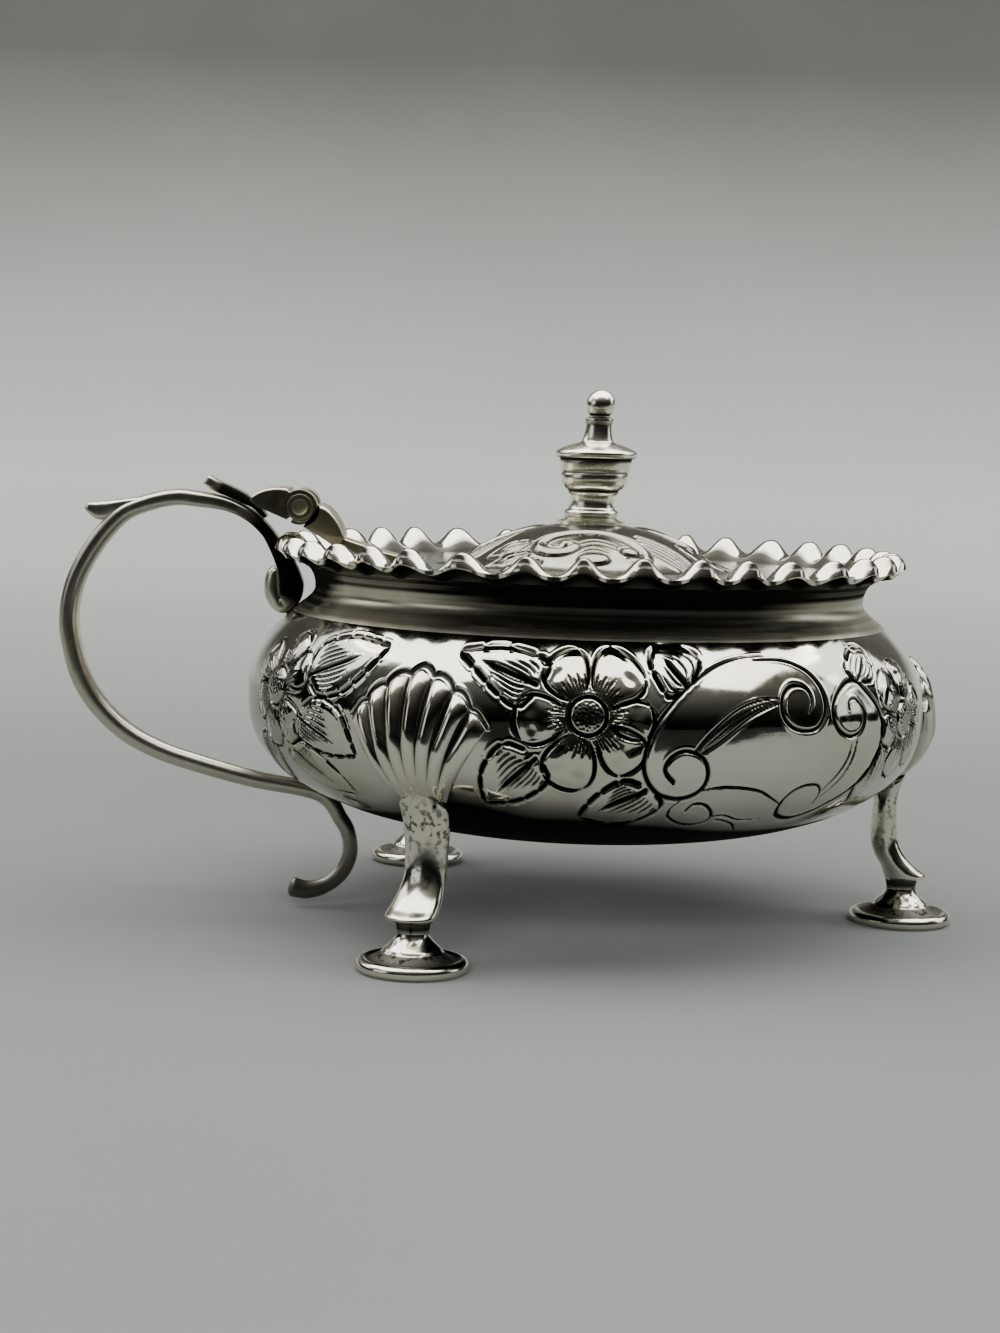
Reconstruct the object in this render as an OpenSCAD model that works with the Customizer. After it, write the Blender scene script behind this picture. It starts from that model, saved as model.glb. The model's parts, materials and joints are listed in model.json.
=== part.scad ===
// Silver mustard pot of cauldron form. A raised bowl with a lobed rim stands on three
// shell-kneed legs with pad feet. A leaf-capped scroll handle carries the hinge of the
// domed cover, which has an urn finial, and a blue glass liner stands in the bowl.
// Millimetres, +Z up. The origin is on the table, under the middle of the overall length.

/* [Bowl] */
// Widest radius of the belly
belly_r = 34.8; // [33:0.1:37]
// Height of the widest part of the belly
belly_z = 23.4; // [22.4:0.1:24.4]
// Height of the underside of the bowl
bottom_z = 9.3; // [8.6:0.1:10]
// Squareness of the lower belly, where 2 is an ellipse
belly_fullness = 2.6; // [2.2:0.1:3]
// Half height of the ellipse that the shoulder follows
shoulder_h = 16.3; // [15.4:0.1:18]
// Radius at the narrow of the neck
neck_r = 28.2; // [27.4:0.1:29]
// Height of the narrow of the neck
neck_z = 33.7; // [33.2:0.1:34.4]
// Thickness of the raised silver sheet
wall = 0.8; // [0.6:0.05:1]

/* [Rim] */
// Height of the lip from the neck to the lobed border
lip_h = 2.4; // [2:0.1:3]
// How far the lip flares out from the neck
lip_flare = 1.2; // [0.8:0.1:1.5]
// Number of lobes round the border
lobe_count = 36; // [24:1:44]
// How far a lobe reaches out from the lip
lobe_reach = 3.3; // [2.6:0.1:3.6]
// Height of the crest of a lobe above the lip
lobe_rise = 2; // [1.4:0.1:2.4]
// How far the crease between lobes lies inside their tips
crease_in = 0.8; // [0.4:0.1:1.2]
// Thickness of a lobe at its tip
lobe_t = 0.6; // [0.4:0.05:0.8]

/* [Cover] */
// Thickness of the cover
cover_t = 0.8; // [0.6:0.05:1]
// Clear space between the cover's edge and the lip
cover_gap = 0.15; // [0.1:0.05:0.3]
// Radius of the dome at its foot
dome_r = 13.8; // [12:0.1:16]
// Height of the dome above the flat of the cover
dome_rise = 4.7; // [3.8:0.1:6]
// Depth of the ring that locates the cover in the neck
bezel_h = 2.2; // [1.6:0.1:2.6]
// Thickness of the locating ring
bezel_t = 0.7; // [0.5:0.05:0.9]
// Clear space between the locating ring and the neck
bezel_gap = 0.9; // [0.7:0.05:1.2]

/* [Finial] */
// Height of the finial above the dome
finial_h = 13.6; // [11:0.1:16]
// Radius of the urn's cap
finial_cap_r = 4.2; // [3.6:0.1:4.8]
// Radius of the ball
finial_ball_r = 1.5; // [1.2:0.1:1.8]
// Radius of the screwed stud under the finial
stud_r = 0.9; // [0.7:0.05:1.1]
// Length of the stud below the top of the dome
stud_l = 2.6; // [2.4:0.1:3]
// Radius of the nut on the stud
nut_r = 2.2; // [1.8:0.1:2.6]
// Thickness of the nut
nut_h = 1.2; // [0.9:0.1:1.4]

/* [Liner] */
// Thickness of the glass
glass_t = 1.6; // [1.2:0.1:2]
// Clear space between the glass and the inside of the neck
glass_gap = 0.8; // [0.6:0.1:1.2]
// Space left between the glass and the locating ring above it
glass_top_gap = 0.6; // [0.4:0.1:1.2]

/* [Hinge] */
// How far the hinge axis stands out from the neck
hinge_out = 1.6; // [1.4:0.1:1.8]
// Height of the hinge axis above the narrow of the neck
hinge_rise = 8.1; // [7.8:0.1:8.4]
// Width of the hinge across the pot
hinge_w = 9; // [7:0.5:11]
// Length of the cover's knuckle in the middle of the hinge
cover_knuckle_l = 3; // [2.4:0.1:3.6]
// Outside radius of the knuckles
knuckle_r = 1.4; // [1.3:0.05:1.5]
// Radius of the hinge pin
pin_r = 0.85; // [0.7:0.05:0.95]
// Running clearance round the pin
pin_gap = 0.03; // [0.02:0.01:0.05]
// Space between parts of the hinge that turn past each other
hinge_gap = 0.15; // [0.1:0.05:0.2]
// Width of the tongue that joins the cover to its hinge plate
tongue_w = 5; // [4:0.5:7]
// Thickness of the tongue
tongue_t = 1; // [0.7:0.1:1.3]
// Length of the tongue from the hinge plate over the cover
tongue_l = 6.4; // [5.6:0.1:8]

/* [Handle] */
// Reach of the handle's centre line from the neck
handle_out = 25.3; // [22:0.1:28]
// Height of the handle's centre line above its lowest stretch
handle_h = 28.7; // [27:0.1:29.6]
// Height of the lowest stretch of the finger loop
handle_low_z = 13.6; // [13:0.1:14.4]
// Width of the strap across the finger loop
strap_w = 3.7; // [3:0.1:4.4]
// Thickness of the strap at the outside of the loop
strap_t = 2.1; // [1.7:0.1:2.4]
// Thickness of the round rod at the lower end
rod_t = 1.6; // [1.3:0.1:1.9]
// Radius from the axis at which the rod is soldered to the belly
rod_seat_r = 27; // [26:0.1:28]
// Radius of the curl at the tail
tail_r = 4.6; // [4.2:0.1:4.9]
// Width of the curl beside the neck, along its centre line
curl_w = 2.7; // [2.2:0.1:3.2]
// Thickness of the thumb leaf on the handle
leaf_t = 0.9; // [0.7:0.05:1.1]

/* [Legs] */
// Radius of the circle that the feet stand on
foot_circle_r = 34; // [33.4:0.1:34.6]
// Radius of a pad foot
pad_r = 5.3; // [4.6:0.1:5.8]
// Thickness of the rounded edge of the pad
pad_t = 1.3; // [1:0.1:1.6]
// Height of the foot up to the leg
foot_h = 4.6; // [4.2:0.1:5]
// Radius of the foot's stem
stem_r = 1.7; // [1.4:0.05:1.9]
// Height of the point that the flutes of the shell fan out from
fan_z = 12.2; // [11.8:0.1:12.8]
// Length of the shell's middle flute from that point
shell_l = 16; // [14.2:0.1:16.8]
// How far the shell stands proud of the belly
shell_proud = 2.3; // [1.8:0.1:2.6]
// Number of flutes on the shell
flute_count = 7; // [5:2:9]
// Depth of the flutes
flute_d = 0.6; // [0.3:0.1:0.8]
// Angle of the outer flutes from the middle one
shell_spread = 31; // [26:1:36]
// Half width of the leg
leg_half_w = 2.1; // [1.8:0.1:2.4]

/* [Hidden] */

silver = [0.85, 0.85, 0.83];
cobalt = [0.1, 0.16, 0.5, 0.6];
// Space filled by solder where two pieces meet
film = 0.03;
// Space under the glass, and round a screwed stud
seat_gap = 0.1;
$fn = 96;

// Reach of the part on each side of the pot's axis, which sets the origin
handle_reach = neck_r + handle_out + strap_t / 2;
foot_reach = foot_circle_r + pad_r;
pot_x = (handle_reach - foot_reach) / 2;

// Angles of the legs round the pot, the first one opposite the handle
front_angle = 0;
left_angle = 120;
right_angle = -120;

// Cubic curve from a to d with the handles b and c
function cubic(a, b, c, d, steps) =
    [for (i = [0:steps]) let (t = i / steps, s = 1 - t)
        s * s * s * a + 3 * s * s * t * b + 3 * s * t * t * c + t * t * t * d];

// Arc about a centre
function arc(centre, r, from, to, steps) =
    [for (i = [0:steps]) let (a = from + (to - from) * i / steps) centre + r * [cos(a), sin(a)]];

// Smooth curve through all the points of a route
function through(p, i, t) =
    let (a = p[max(i - 1, 0)], b = p[i], c = p[i + 1], d = p[min(i + 2, len(p) - 1)])
    0.5 * (2 * b + (c - a) * t + (2 * a - 5 * b + 4 * c - d) * t * t
        + (3 * b - a - 3 * c + d) * t * t * t);
function smooth(p, steps) =
    concat([for (i = [0:len(p) - 2]) for (k = [0:steps - 1]) through(p, i, k / steps)], [p[len(p) - 1]]);

function unit(v) = v / norm(v);
// Direction of a polyline at one of its points, and the normal on its left
function heading(p, i) = unit(p[min(i + 1, len(p) - 1)] - p[max(i - 1, 0)]);
function left_of(v) = [-v[1], v[0]];
// A polyline moved sideways to its left
function beside(p, d) = [for (i = [0:len(p) - 1]) p[i] + d * left_of(heading(p, i))];
function flip(p) = [for (i = [len(p) - 1:-1:0]) p[i]];

// Solid through a row of rings of points. A loop joins the last ring to the first.
module loft(rings, loop = false) {
    n = len(rings[0]);
    m = len(rings);
    points = [for (ring = rings) each ring];
    skin = [for (j = [0:loop ? m - 1 : m - 2]) for (i = [0:n - 1])
        let (a = j * n + i, b = j * n + (i + 1) % n,
            c = (j + 1) % m * n + (i + 1) % n, d = (j + 1) % m * n + i)
        each [[a, b, c], [a, c, d]]];
    strips = [for (i = [0:n / 2 - 2]) each [[i, n - 1 - i, n - 2 - i], [i, n - 2 - i, i + 1]]];
    far = (m - 1) * n;
    ends = loop ? [] : concat(strips,
        [for (t = strips) [far + t[0], far + t[2], far + t[1]]]);
    polyhedron(points, concat(skin, ends));
}

// Rod of flattened round section along a route in the XZ plane.
// Each size is [width across, thickness in the plane].
module rod_along(route, sizes, sides = 10) {
    loft([for (j = [0:len(route) - 1]) let (side = left_of(heading(route, j)))
        [for (k = [0:sides - 1]) let (a = 360 * k / sides,
                out = sizes[j][1] / 2 * cos(a), across = sizes[j][0] / 2 * sin(a))
            [route[j][0] + side[0] * out, across, route[j][1] + side[1] * out]]]);
}

// Plate with its outline in the XZ plane and its width across the pot
module xz_plate(outline, width) {
    rotate([90, 0, 0]) linear_extrude(width, center = true) polygon(outline);
}

// Cylinder along Y through a point of the XZ plane
module y_cylinder(p, r, length) {
    translate([p[0], 0, p[1]]) rotate([90, 0, 0]) cylinder(r = r, h = length, center = true);
}

module at_pot() { translate([pot_x, 0, 0]) children(); }

// Bowl outline, from the middle of the underside up to the lip
lower_h = belly_z - bottom_z;
function lower_r(z) =
    belly_r * pow(1 - pow((belly_z - z) / lower_h, belly_fullness), 1 / belly_fullness);
function lower_z(r) =
    belly_z - lower_h * pow(1 - pow(r / belly_r, belly_fullness), 1 / belly_fullness);
function shoulder_r(z) = belly_r * sqrt(1 - pow((z - belly_z) / shoulder_h, 2));
function bowl_r(z) = z < belly_z ? lower_r(z) : shoulder_r(z);
// Outward direction of the bowl's surface at a height, as [radial, up]
function bowl_out(z) = let (step = 0.01, rise = bowl_r(z + step) - bowl_r(z - step))
    unit([2 * step, -rise]);

neck_blend = 2.2;
blend_z = neck_z - neck_blend;
blend_handle = 0.4 * neck_blend;
blend_start = [shoulder_r(blend_z), blend_z];
blend_out = bowl_out(blend_z);
lip_r = neck_r + lip_flare;
lip_z = neck_z + lip_h;
lower_step_count = 22;
shoulder_step_count = 10;
lip_curve = cubic([neck_r, neck_z], [neck_r, neck_z + lip_h / 2],
    [neck_r + 0.4 * lip_flare, neck_z + 0.8 * lip_h], [lip_r, lip_z], 6);
bowl_outside = concat(
    [for (i = [0:lower_step_count]) let (a = 90 * i / lower_step_count)
        [belly_r * pow(sin(a), 2 / belly_fullness), belly_z - lower_h * pow(cos(a), 2 / belly_fullness)]],
    [for (i = [1:shoulder_step_count]) let (z = belly_z + (blend_z - belly_z) * i / shoulder_step_count)
        [shoulder_r(z), z]],
    [for (i = [1:6]) cubic(blend_start, blend_start + blend_handle * [-blend_out[1], blend_out[0]],
        [neck_r, neck_z - blend_handle], [neck_r, neck_z], 6)[i]],
    [for (i = [1:6]) lip_curve[i]]);
// Inner outline, level with the lip at the top and closed on the axis at the bottom
function sheet_inside(t) = let (in = beside(bowl_outside, t), last = len(in) - 1)
    [for (i = [0:last]) i == 0 ? [0, bottom_z + t] : i == last ? [lip_r - t, lip_z]
        : [in[i][0], min(in[i][1], lip_z)]];
bowl_inside = sheet_inside(wall);

module bowl() {
    color(silver) at_pot() rotate_extrude() polygon(concat(bowl_outside, flip(bowl_inside)));
}

// Lobed border: the lip's section curls over, more at a lobe than at a crease,
// and one of the creases lies at the handle
rim_mid_r = lip_r - wall / 2;
rim_z = lip_z + film;
lobe_step_count = 4;
section_step_count = 4;
function rim_section(w) = let (crest = lobe_rise * (0.55 + 0.45 * w), tip_r = lobe_reach - crease_in * (1 - w))
    cubic([rim_mid_r, rim_z], [rim_mid_r + 0.12 * lobe_reach, rim_z + 0.75 * crest],
        [rim_mid_r + 0.6 * lobe_reach, rim_z + (0.7 + 0.85 * w) * crest],
        [rim_mid_r + tip_r, rim_z + (0.45 + 0.15 * w) * lobe_rise], section_step_count);
function rim_ring(a) = let (mid = rim_section(abs(sin((180 - a) * lobe_count / 2))),
        half = [for (i = [0:section_step_count]) (wall + (lobe_t - wall) * i / section_step_count) / 2],
        side = [for (i = [0:section_step_count]) i == 0 ? [-1, 0] : left_of(heading(mid, i))],
        loop = concat([for (i = [0:section_step_count]) mid[i] - half[i] * side[i]],
            [for (i = [section_step_count:-1:0]) mid[i] + half[i] * side[i]]))
    [for (p = loop) [p[0] * cos(a), p[0] * sin(a), p[1]]];

module rim_border() {
    n = lobe_count * lobe_step_count;
    color(silver) at_pot() loft([for (i = [0:n - 1]) rim_ring(360 * i / n)], loop = true);
}

// Cover: a flat brim inside the lip and a dome in the middle
lip_seat_i = 3;
lip_inside = beside(lip_curve, wall);
cover_r = lip_inside[lip_seat_i][0] - cover_gap;
cover_z = lip_inside[lip_seat_i][1];
cover_top = cover_z + cover_t;
dome_sphere_r = (dome_r * dome_r + dome_rise * dome_rise) / (2 * dome_rise);
dome_top = cover_top + dome_rise;
function dome_z(r) = dome_top - dome_sphere_r + sqrt(dome_sphere_r * dome_sphere_r - r * r);
dome_arc_r = 0.86 * dome_r;
dome_foot_r = 1.22 * dome_r;
dome_slope = dome_arc_r / (dome_z(dome_arc_r) - dome_top + dome_sphere_r);
dome_blend = 0.15 * dome_r;
stud_hole_r = stud_r + pin_gap;
cover_upper = concat(
    [for (i = [0:8]) let (r = stud_hole_r + (dome_arc_r - stud_hole_r) * i / 8) [r, dome_z(r)]],
    [for (i = [1:6]) cubic([dome_arc_r, dome_z(dome_arc_r)],
        [dome_arc_r + dome_blend, dome_z(dome_arc_r) - dome_blend * dome_slope],
        [dome_foot_r - dome_blend, cover_top], [dome_foot_r, cover_top], 6)[i]],
    [[cover_r, cover_top]]);

module cover() {
    lower = [for (p = flip(cover_upper)) p - [0, cover_t]];
    color(silver) at_pot() rotate_extrude() polygon(concat(cover_upper, lower));
}

bezel_r = neck_r - wall - bezel_gap;

module cover_bezel() {
    color(silver) at_pot() translate([0, 0, cover_z - bezel_h - film]) difference() {
        cylinder(r = bezel_r, h = bezel_h);
        translate([0, 0, -1]) cylinder(r = bezel_r - bezel_t, h = bezel_h + 2);
    }
}

// Finial: an urn with a lid, a bell-shaped stem and a ball, on a stud through the cover.
// The urn's points are shares of its cap's radius and of the finial's height.
function urn(r, z) = [finial_cap_r * r, dome_top + finial_h * z];
finial_foot_r = 0.857 * finial_cap_r;
ball_z = dome_top + finial_h - finial_ball_r;
collar_r = 0.97 * finial_ball_r;
finial_outline = concat(
    [[0, dome_top - stud_l], [stud_r, dome_top - stud_l]],
    [for (i = [0:4]) let (r = stud_r + (finial_foot_r - stud_r) * i / 4) [r, dome_z(r) + film]],
    cubic(urn(0.857, 0.007), urn(0.69, 0.011), urn(0.69, 0.03), urn(0.62, 0.037), 4),
    arc(urn(0.548, 0.0625), 0.083 * finial_cap_r, -60, 75, 5),
    cubic(urn(0.512, 0.103), urn(0.488, 0.14), urn(0.5, 0.184), urn(0.595, 0.213), 5),
    cubic(urn(0.762, 0.25), urn(0.857, 0.294), urn(0.881, 0.338), urn(0.893, 0.397), 5),
    [urn(0.893, 0.434), urn(0.833, 0.441)],
    arc(urn(0.905, 0.478), 0.095 * finial_cap_r, -80, 80, 6),
    cubic(urn(0.833, 0.522), urn(0.571, 0.544), urn(0.31, 0.574), urn(0.286, 0.654), 6),
    [urn(0.226, 0.713), [collar_r, ball_z - 1.4 * finial_ball_r], [collar_r, ball_z - 1.13 * finial_ball_r]],
    arc([0, ball_z], finial_ball_r, -55, 90, 10));

module finial() {
    color(silver) at_pot() rotate_extrude() polygon(finial_outline);
}

module finial_nut() {
    nut_top = dome_z(nut_r) - cover_t - film;
    color(silver) at_pot() translate([0, 0, nut_top - nut_h]) difference() {
        cylinder(r = nut_r, h = nut_h);
        translate([0, 0, -1]) cylinder(r = stud_hole_r, h = nut_h + 2);
    }
}

// Glass liner: it follows the bowl inside up to the radius that passes the neck
glass_r = neck_r - wall - glass_gap;
glass_top = cover_z - bezel_h - film - glass_top_gap;
glass_base = [for (p = sheet_inside(wall + seat_gap)) if (p[0] < 0.97 * glass_r && p[1] < belly_z) p];
glass_outside = concat(glass_base,
    cubic(glass_base[len(glass_base) - 1] + [0.02 * glass_r, glass_t], [glass_r, belly_z - glass_t],
        [glass_r - glass_t / 2, belly_z + glass_t], [glass_r - glass_t / 4, glass_top - glass_t], 5),
    [[glass_r, glass_top]]);

module glass_liner() {
    inside = beside(glass_outside, glass_t);
    last = len(inside) - 1;
    inner = [for (i = [0:last]) i == 0 ? [0, glass_base[0][1] + glass_t]
        : i == last ? [glass_r - glass_t, glass_top] : inside[i]];
    color(cobalt) at_pot() rotate_extrude() polygon(concat(glass_outside, flip(inner)));
}

// Legs: a fluted shell against the belly, narrowing to a leg that turns out to a toe
// Space under the shell, which allows for its flat facets on the round belly
shell_film = 3 * film;
flute_step_count = 3;
front_n = flute_count * flute_step_count;
function across(i) = 2 * i / front_n - 1;
function flute(i) = abs(cos(180 * i * flute_count / front_n + 90 * (flute_count + 1)));
// Length of the shell along one of its rays, shorter at the sides and scalloped at the flutes
function ray_l(i) = shell_l * (1 - 0.18 * pow(abs(across(i)), 1.2)) * (0.96 + 0.04 * flute(i));
// Point of the shell on a ray, at a share s of its length, standing proud of the belly
function shell_point(i, s, proud) =
    let (a = shell_spread * across(i), rho = ray_l(i) * s,
        z = fan_z + rho * cos(a), turn = rho * sin(a) / belly_r * 180 / PI,
        out = bowl_out(z), r = bowl_r(z) + proud * out[0])
    [r * cos(turn), r * sin(turn), z + proud * out[1]];
function shell_rise(i, s) = shell_film - flute_d * (1 - flute(i)) * min(1, 2 * s - 0.5)
    + shell_proud * (1 - 0.5 * pow(max(0, s - 0.45) / 0.55, 1.5)) * (1 - 0.3 * pow(across(i), 4));
function shell_ring(s) = concat(
    [for (i = [0:front_n]) shell_point(i, s, shell_rise(i, s))],
    [for (i = [front_n:-1:0]) shell_point(i, s, shell_film)]);
// Section of the leg between an inner and an outer radius, clear of the belly.
// It is level, or arched up in the middle to meet the shell.
function leg_ring(inner, outer, half_w, z, arch = 0) =
    [for (side = [1, -1]) for (k = [0:front_n]) let (a = 90 * side * across(k), h = z + arch * cos(a),
            from = h > bottom_z + wall ? max(leg_in + inner, bowl_r(h) + shell_film) : leg_in + inner,
            mid = (from + leg_in + outer) / 2, bulge = side * (mid - from) * pow(cos(a), 0.7))
        [mid + bulge, leg_half_w * half_w * (side > 0 ? 1 : 0.995) * sin(a), h]];
// Inner edge of the leg, inside the axis of its foot
leg_inset = 3.4;
leg_in = foot_circle_r - leg_inset;
leg_low_z = foot_h + film;
leg_top_z = fan_z + 2.9;
function leg_z(share) = leg_low_z + (leg_top_z - leg_low_z) * share;
leg_rings = [
    leg_ring(1.7, 5.1, 0.82, leg_z(0)),
    leg_ring(1.6, 5.6, 1.1, leg_z(0.02)),
    leg_ring(1.5, 5.9, 1.2, leg_z(0.055)),
    leg_ring(1.2, 4.8, 1.17, leg_z(0.13)),
    leg_ring(0.5, 3.7, 1.07, leg_z(0.24)),
    leg_ring(0.05, 2.95, 1, leg_z(0.37)),
    leg_ring(0, 2.6, 0.98, leg_z(0.53)),
    leg_ring(0.2, 2.5, 1.02, leg_z(0.76)),
    leg_ring(0.4, 2.8, 1.05, leg_z(0.88), 0.4),
    leg_ring(0.6, 3.9, 1.08, leg_z(1), 1)];

module leg(angle) {
    color(silver) at_pot() rotate(angle)
        loft(concat([for (s = [1, 0.92, 0.82, 0.7, 0.57, 0.44, 0.33]) shell_ring(s)], flip(leg_rings)));
}

module front_leg() { leg(front_angle); }
module left_leg() { leg(left_angle); }
module right_leg() { leg(right_angle); }

// Pad foot: a turned stem that spreads to a cone, a step and a pad with a round edge
cone_r = 1.65 * stem_r;
cone_z = pad_t + 0.4 * (foot_h - pad_t);
foot_outline = concat(
    [[0, 0], [pad_r - pad_t / 2, 0]],
    arc([pad_r - pad_t / 2, pad_t / 2], pad_t / 2, -80, 80, 6),
    cubic([pad_r - pad_t, pad_t], [cone_r + 0.5, pad_t], [cone_r + 0.3, cone_z - 0.5], [cone_r + 0.2, cone_z - 0.2], 4),
    cubic([cone_r, cone_z], [stem_r + 0.4, cone_z + 0.3], [stem_r, foot_h - 1.4], [stem_r, foot_h - 0.6], 5),
    [[stem_r, foot_h], [0, foot_h]]);

module foot(angle) {
    color(silver) at_pot() rotate(angle) translate([foot_circle_r, 0, 0]) rotate_extrude() polygon(foot_outline);
}

module front_foot() { foot(front_angle); }
module left_foot() { foot(left_angle); }
module right_foot() { foot(right_angle); }

// Hinge axis in the XZ plane, and a point given from it
hinge = [-neck_r - hinge_out, neck_z + hinge_rise];
function by_hinge(u, v) = hinge + [u, v];

// Handle: a curl beside the neck, a strap up past the hinge, the finger loop, and a rod that
// is soldered under the belly and ends in a curled tail
function loop_at(u, v) = [-neck_r - u * handle_out, handle_low_z + v * handle_h];
curl_t = 0.6 * strap_t;
shoulder_seat = [-blend_start[0], blend_z] + (curl_t / 2 + film) * [-blend_out[0], blend_out[1]];
rim_tip = [-rim_mid_r - lobe_reach, lip_z];
seat_z = lower_z(rod_seat_r);
seat_out = bowl_out(seat_z);
rod_seat = [-rod_seat_r, seat_z] + (rod_t / 2 + film) * [-seat_out[0], seat_out[1]];
tail_mid = rod_seat + [-1.2, -1 - tail_r];
handle_route = concat(
    [for (p = [[-0.55, 1.5], [-0.85, 1.55], [-1.07, 1.22], [-1.1, 0.7], [-0.93, 0.22], [-0.52, -0.07]])
        shoulder_seat + p * curl_w],
    [shoulder_seat, shoulder_seat + [0, 1.9], rim_tip + [-0.5, 0.1],
        by_hinge(-2.85, -4), by_hinge(-3.95, -2.75), by_hinge(-5.45, -1.45), by_hinge(-7.8, -0.3)],
    [loop_at(0.478, 0.995), loop_at(0.573, 1), loop_at(0.69, 0.976), loop_at(0.795, 0.93),
        loop_at(0.9, 0.82), loop_at(0.975, 0.69), loop_at(1, 0.56), loop_at(0.98, 0.44),
        loop_at(0.94, 0.335), loop_at(0.87, 0.24), loop_at(0.76, 0.15), loop_at(0.62, 0.085),
        loop_at(0.46, 0.04), loop_at(0.24, -0.01)],
    [rod_seat],
    arc(tail_mid, tail_r, 48, -105, 6));

// Spur that leaves the back of the loop like a leaf's tip
spur_route = [loop_at(0.6, 0.985), loop_at(0.7, 0.975), loop_at(0.78, 0.97), loop_at(0.86, 0.964), loop_at(0.94, 0.96)];

module handle_scroll() {
    path = smooth(handle_route, 3);
    last = len(path) - 1;
    widths = [[0, 0.8 * strap_w], [0.2, 0.95 * strap_w], [0.35, 1.05 * strap_w], [0.6, strap_w],
        [0.74, 0.65 * strap_w], [0.8, rod_t], [1, rod_t]];
    thicks = [[0, 0.45 * strap_t], [0.18, curl_t], [0.25, 0.55 * strap_t], [0.3, 0.76 * strap_t],
        [0.5, strap_t], [0.65, 0.9 * strap_t], [0.78, rod_t], [0.94, 1.1 * rod_t], [1, 0.5 * rod_t]];
    color(silver) at_pot() union() {
        rod_along(path, [for (j = [0:last]) [lookup(j / last, widths), lookup(j / last, thicks)]]);
        leaf(spur_route, 0.9 * strap_w);
    }
}

// Leaf along a route, full at its root and narrow and thin at its tip
module leaf(route, width) {
    path = smooth(route, 3);
    last = len(path) - 1;
    rod_along(path, [for (j = [0:last])
        [width * (1 - 0.7 * pow(j / last, 2)), leaf_t * (1 - 0.4 * j / last)]]);
}

module thumb_leaf() {
    color(silver) at_pot() leaf([by_hinge(-3.1, -1.75), by_hinge(-4.6, -0.45), by_hinge(-5.9, 0.55),
        by_hinge(-7.3, 1.3), by_hinge(-8.7, 1.9), by_hinge(-10, 2.4)], strap_w);
}

// Hinge: two fixed knuckles and one on the cover, turning on a pin
cap_r = knuckle_r + 0.4;
bore_r = pin_r + pin_gap;
fixed_knuckle_l = (hinge_w - cover_knuckle_l) / 2 - hinge_gap;
fixed_knuckle_y = (hinge_w - fixed_knuckle_l) / 2;

module tube_y(length) {
    difference() {
        y_cylinder(hinge, knuckle_r, length);
        y_cylinder(hinge, bore_r, length + 2);
    }
}

module fixed_knuckle(side) {
    color(silver) at_pot() translate([0, side * fixed_knuckle_y, 0]) tube_y(fixed_knuckle_l);
}

module left_knuckle() { fixed_knuckle(1); }
module right_knuckle() { fixed_knuckle(-1); }

module cover_knuckle() {
    color(silver) at_pot() tube_y(cover_knuckle_l);
}

module hinge_pin() {
    color(silver) at_pot() y_cylinder(hinge, pin_r, hinge_w);
}

module hinge_plate() {
    outline = concat(
        [by_hinge(-4.25, -0.12), by_hinge(-5.05, 0.5)],
        cubic(by_hinge(-4.95, 0.9), by_hinge(-4.2, 1.6), by_hinge(-2.8, 2.1), by_hinge(-1.25, 1.8), 6),
        [by_hinge(-0.6, 0.6), by_hinge(-0.6, -0.6), by_hinge(-1.3, -1.3)]);
    color(silver) at_pot() difference() {
        union() {
            xz_plate(outline, hinge_w);
            for (side = [-1, 1]) translate([0, side * fixed_knuckle_y, 0]) intersection() {
                y_cylinder(hinge, cap_r, fixed_knuckle_l);
                translate([hinge[0], 0, hinge[1]]) rotate([0, -5, 0])
                    translate([-2 * cap_r, -hinge_w, 0]) cube([4 * cap_r, 2 * hinge_w, 2 * cap_r]);
            }
        }
        y_cylinder(hinge, knuckle_r + film, hinge_w + 2);
        y_cylinder(hinge, knuckle_r + hinge_gap, cover_knuckle_l + 2 * hinge_gap);
    }
}

// The cover's side of the hinge: a plate down from the knuckle, and a tongue to the cover
plate_end = by_hinge(4.6, -3);
plate_foot = by_hinge(3.9, -4.1);
module cover_hinge_plate() {
    outline = concat(
        cubic(by_hinge(1.9, 0.25), by_hinge(3, 0.3), by_hinge(4.3, -1.6), plate_end, 6),
        [plate_foot, by_hinge(2, -2.9), by_hinge(0.4, -2), by_hinge(0.1, -0.5), by_hinge(0.5, 0)]);
    color(silver) at_pot() difference() {
        xz_plate(outline, hinge_w);
        y_cylinder(hinge, knuckle_r + film, hinge_w + 2);
        for (side = [-1, 1]) translate([0, side * (cover_knuckle_l + hinge_w) / 2, 0])
            y_cylinder(hinge, cap_r + hinge_gap, hinge_w);
    }
}

module cover_tongue() {
    along = unit(plate_foot - plate_end);
    start = (plate_end + plate_foot) / 2 + film * left_of(along);
    rest_x = start[0] + tongue_l;
    outline = [start - tongue_t / 2 * along, start + tongue_t / 2 * along,
        [start[0] + 4, cover_top + film], [rest_x, cover_top + film],
        [rest_x, cover_top + 0.6 * tongue_t], [start[0] + 4.6, cover_top + tongue_t]];
    color(silver) at_pot() xz_plate(outline, tongue_w);
}

bowl();
rim_border();
glass_liner();
front_leg();
left_leg();
right_leg();
front_foot();
left_foot();
right_foot();
handle_scroll();
thumb_leaf();
hinge_plate();
left_knuckle();
right_knuckle();
hinge_pin();
cover();
cover_bezel();
finial();
finial_nut();
cover_tongue();
cover_hinge_plate();
cover_knuckle();
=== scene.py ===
import json

import bmesh
import bpy
import numpy as np
from mathutils import Matrix, Vector


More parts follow.
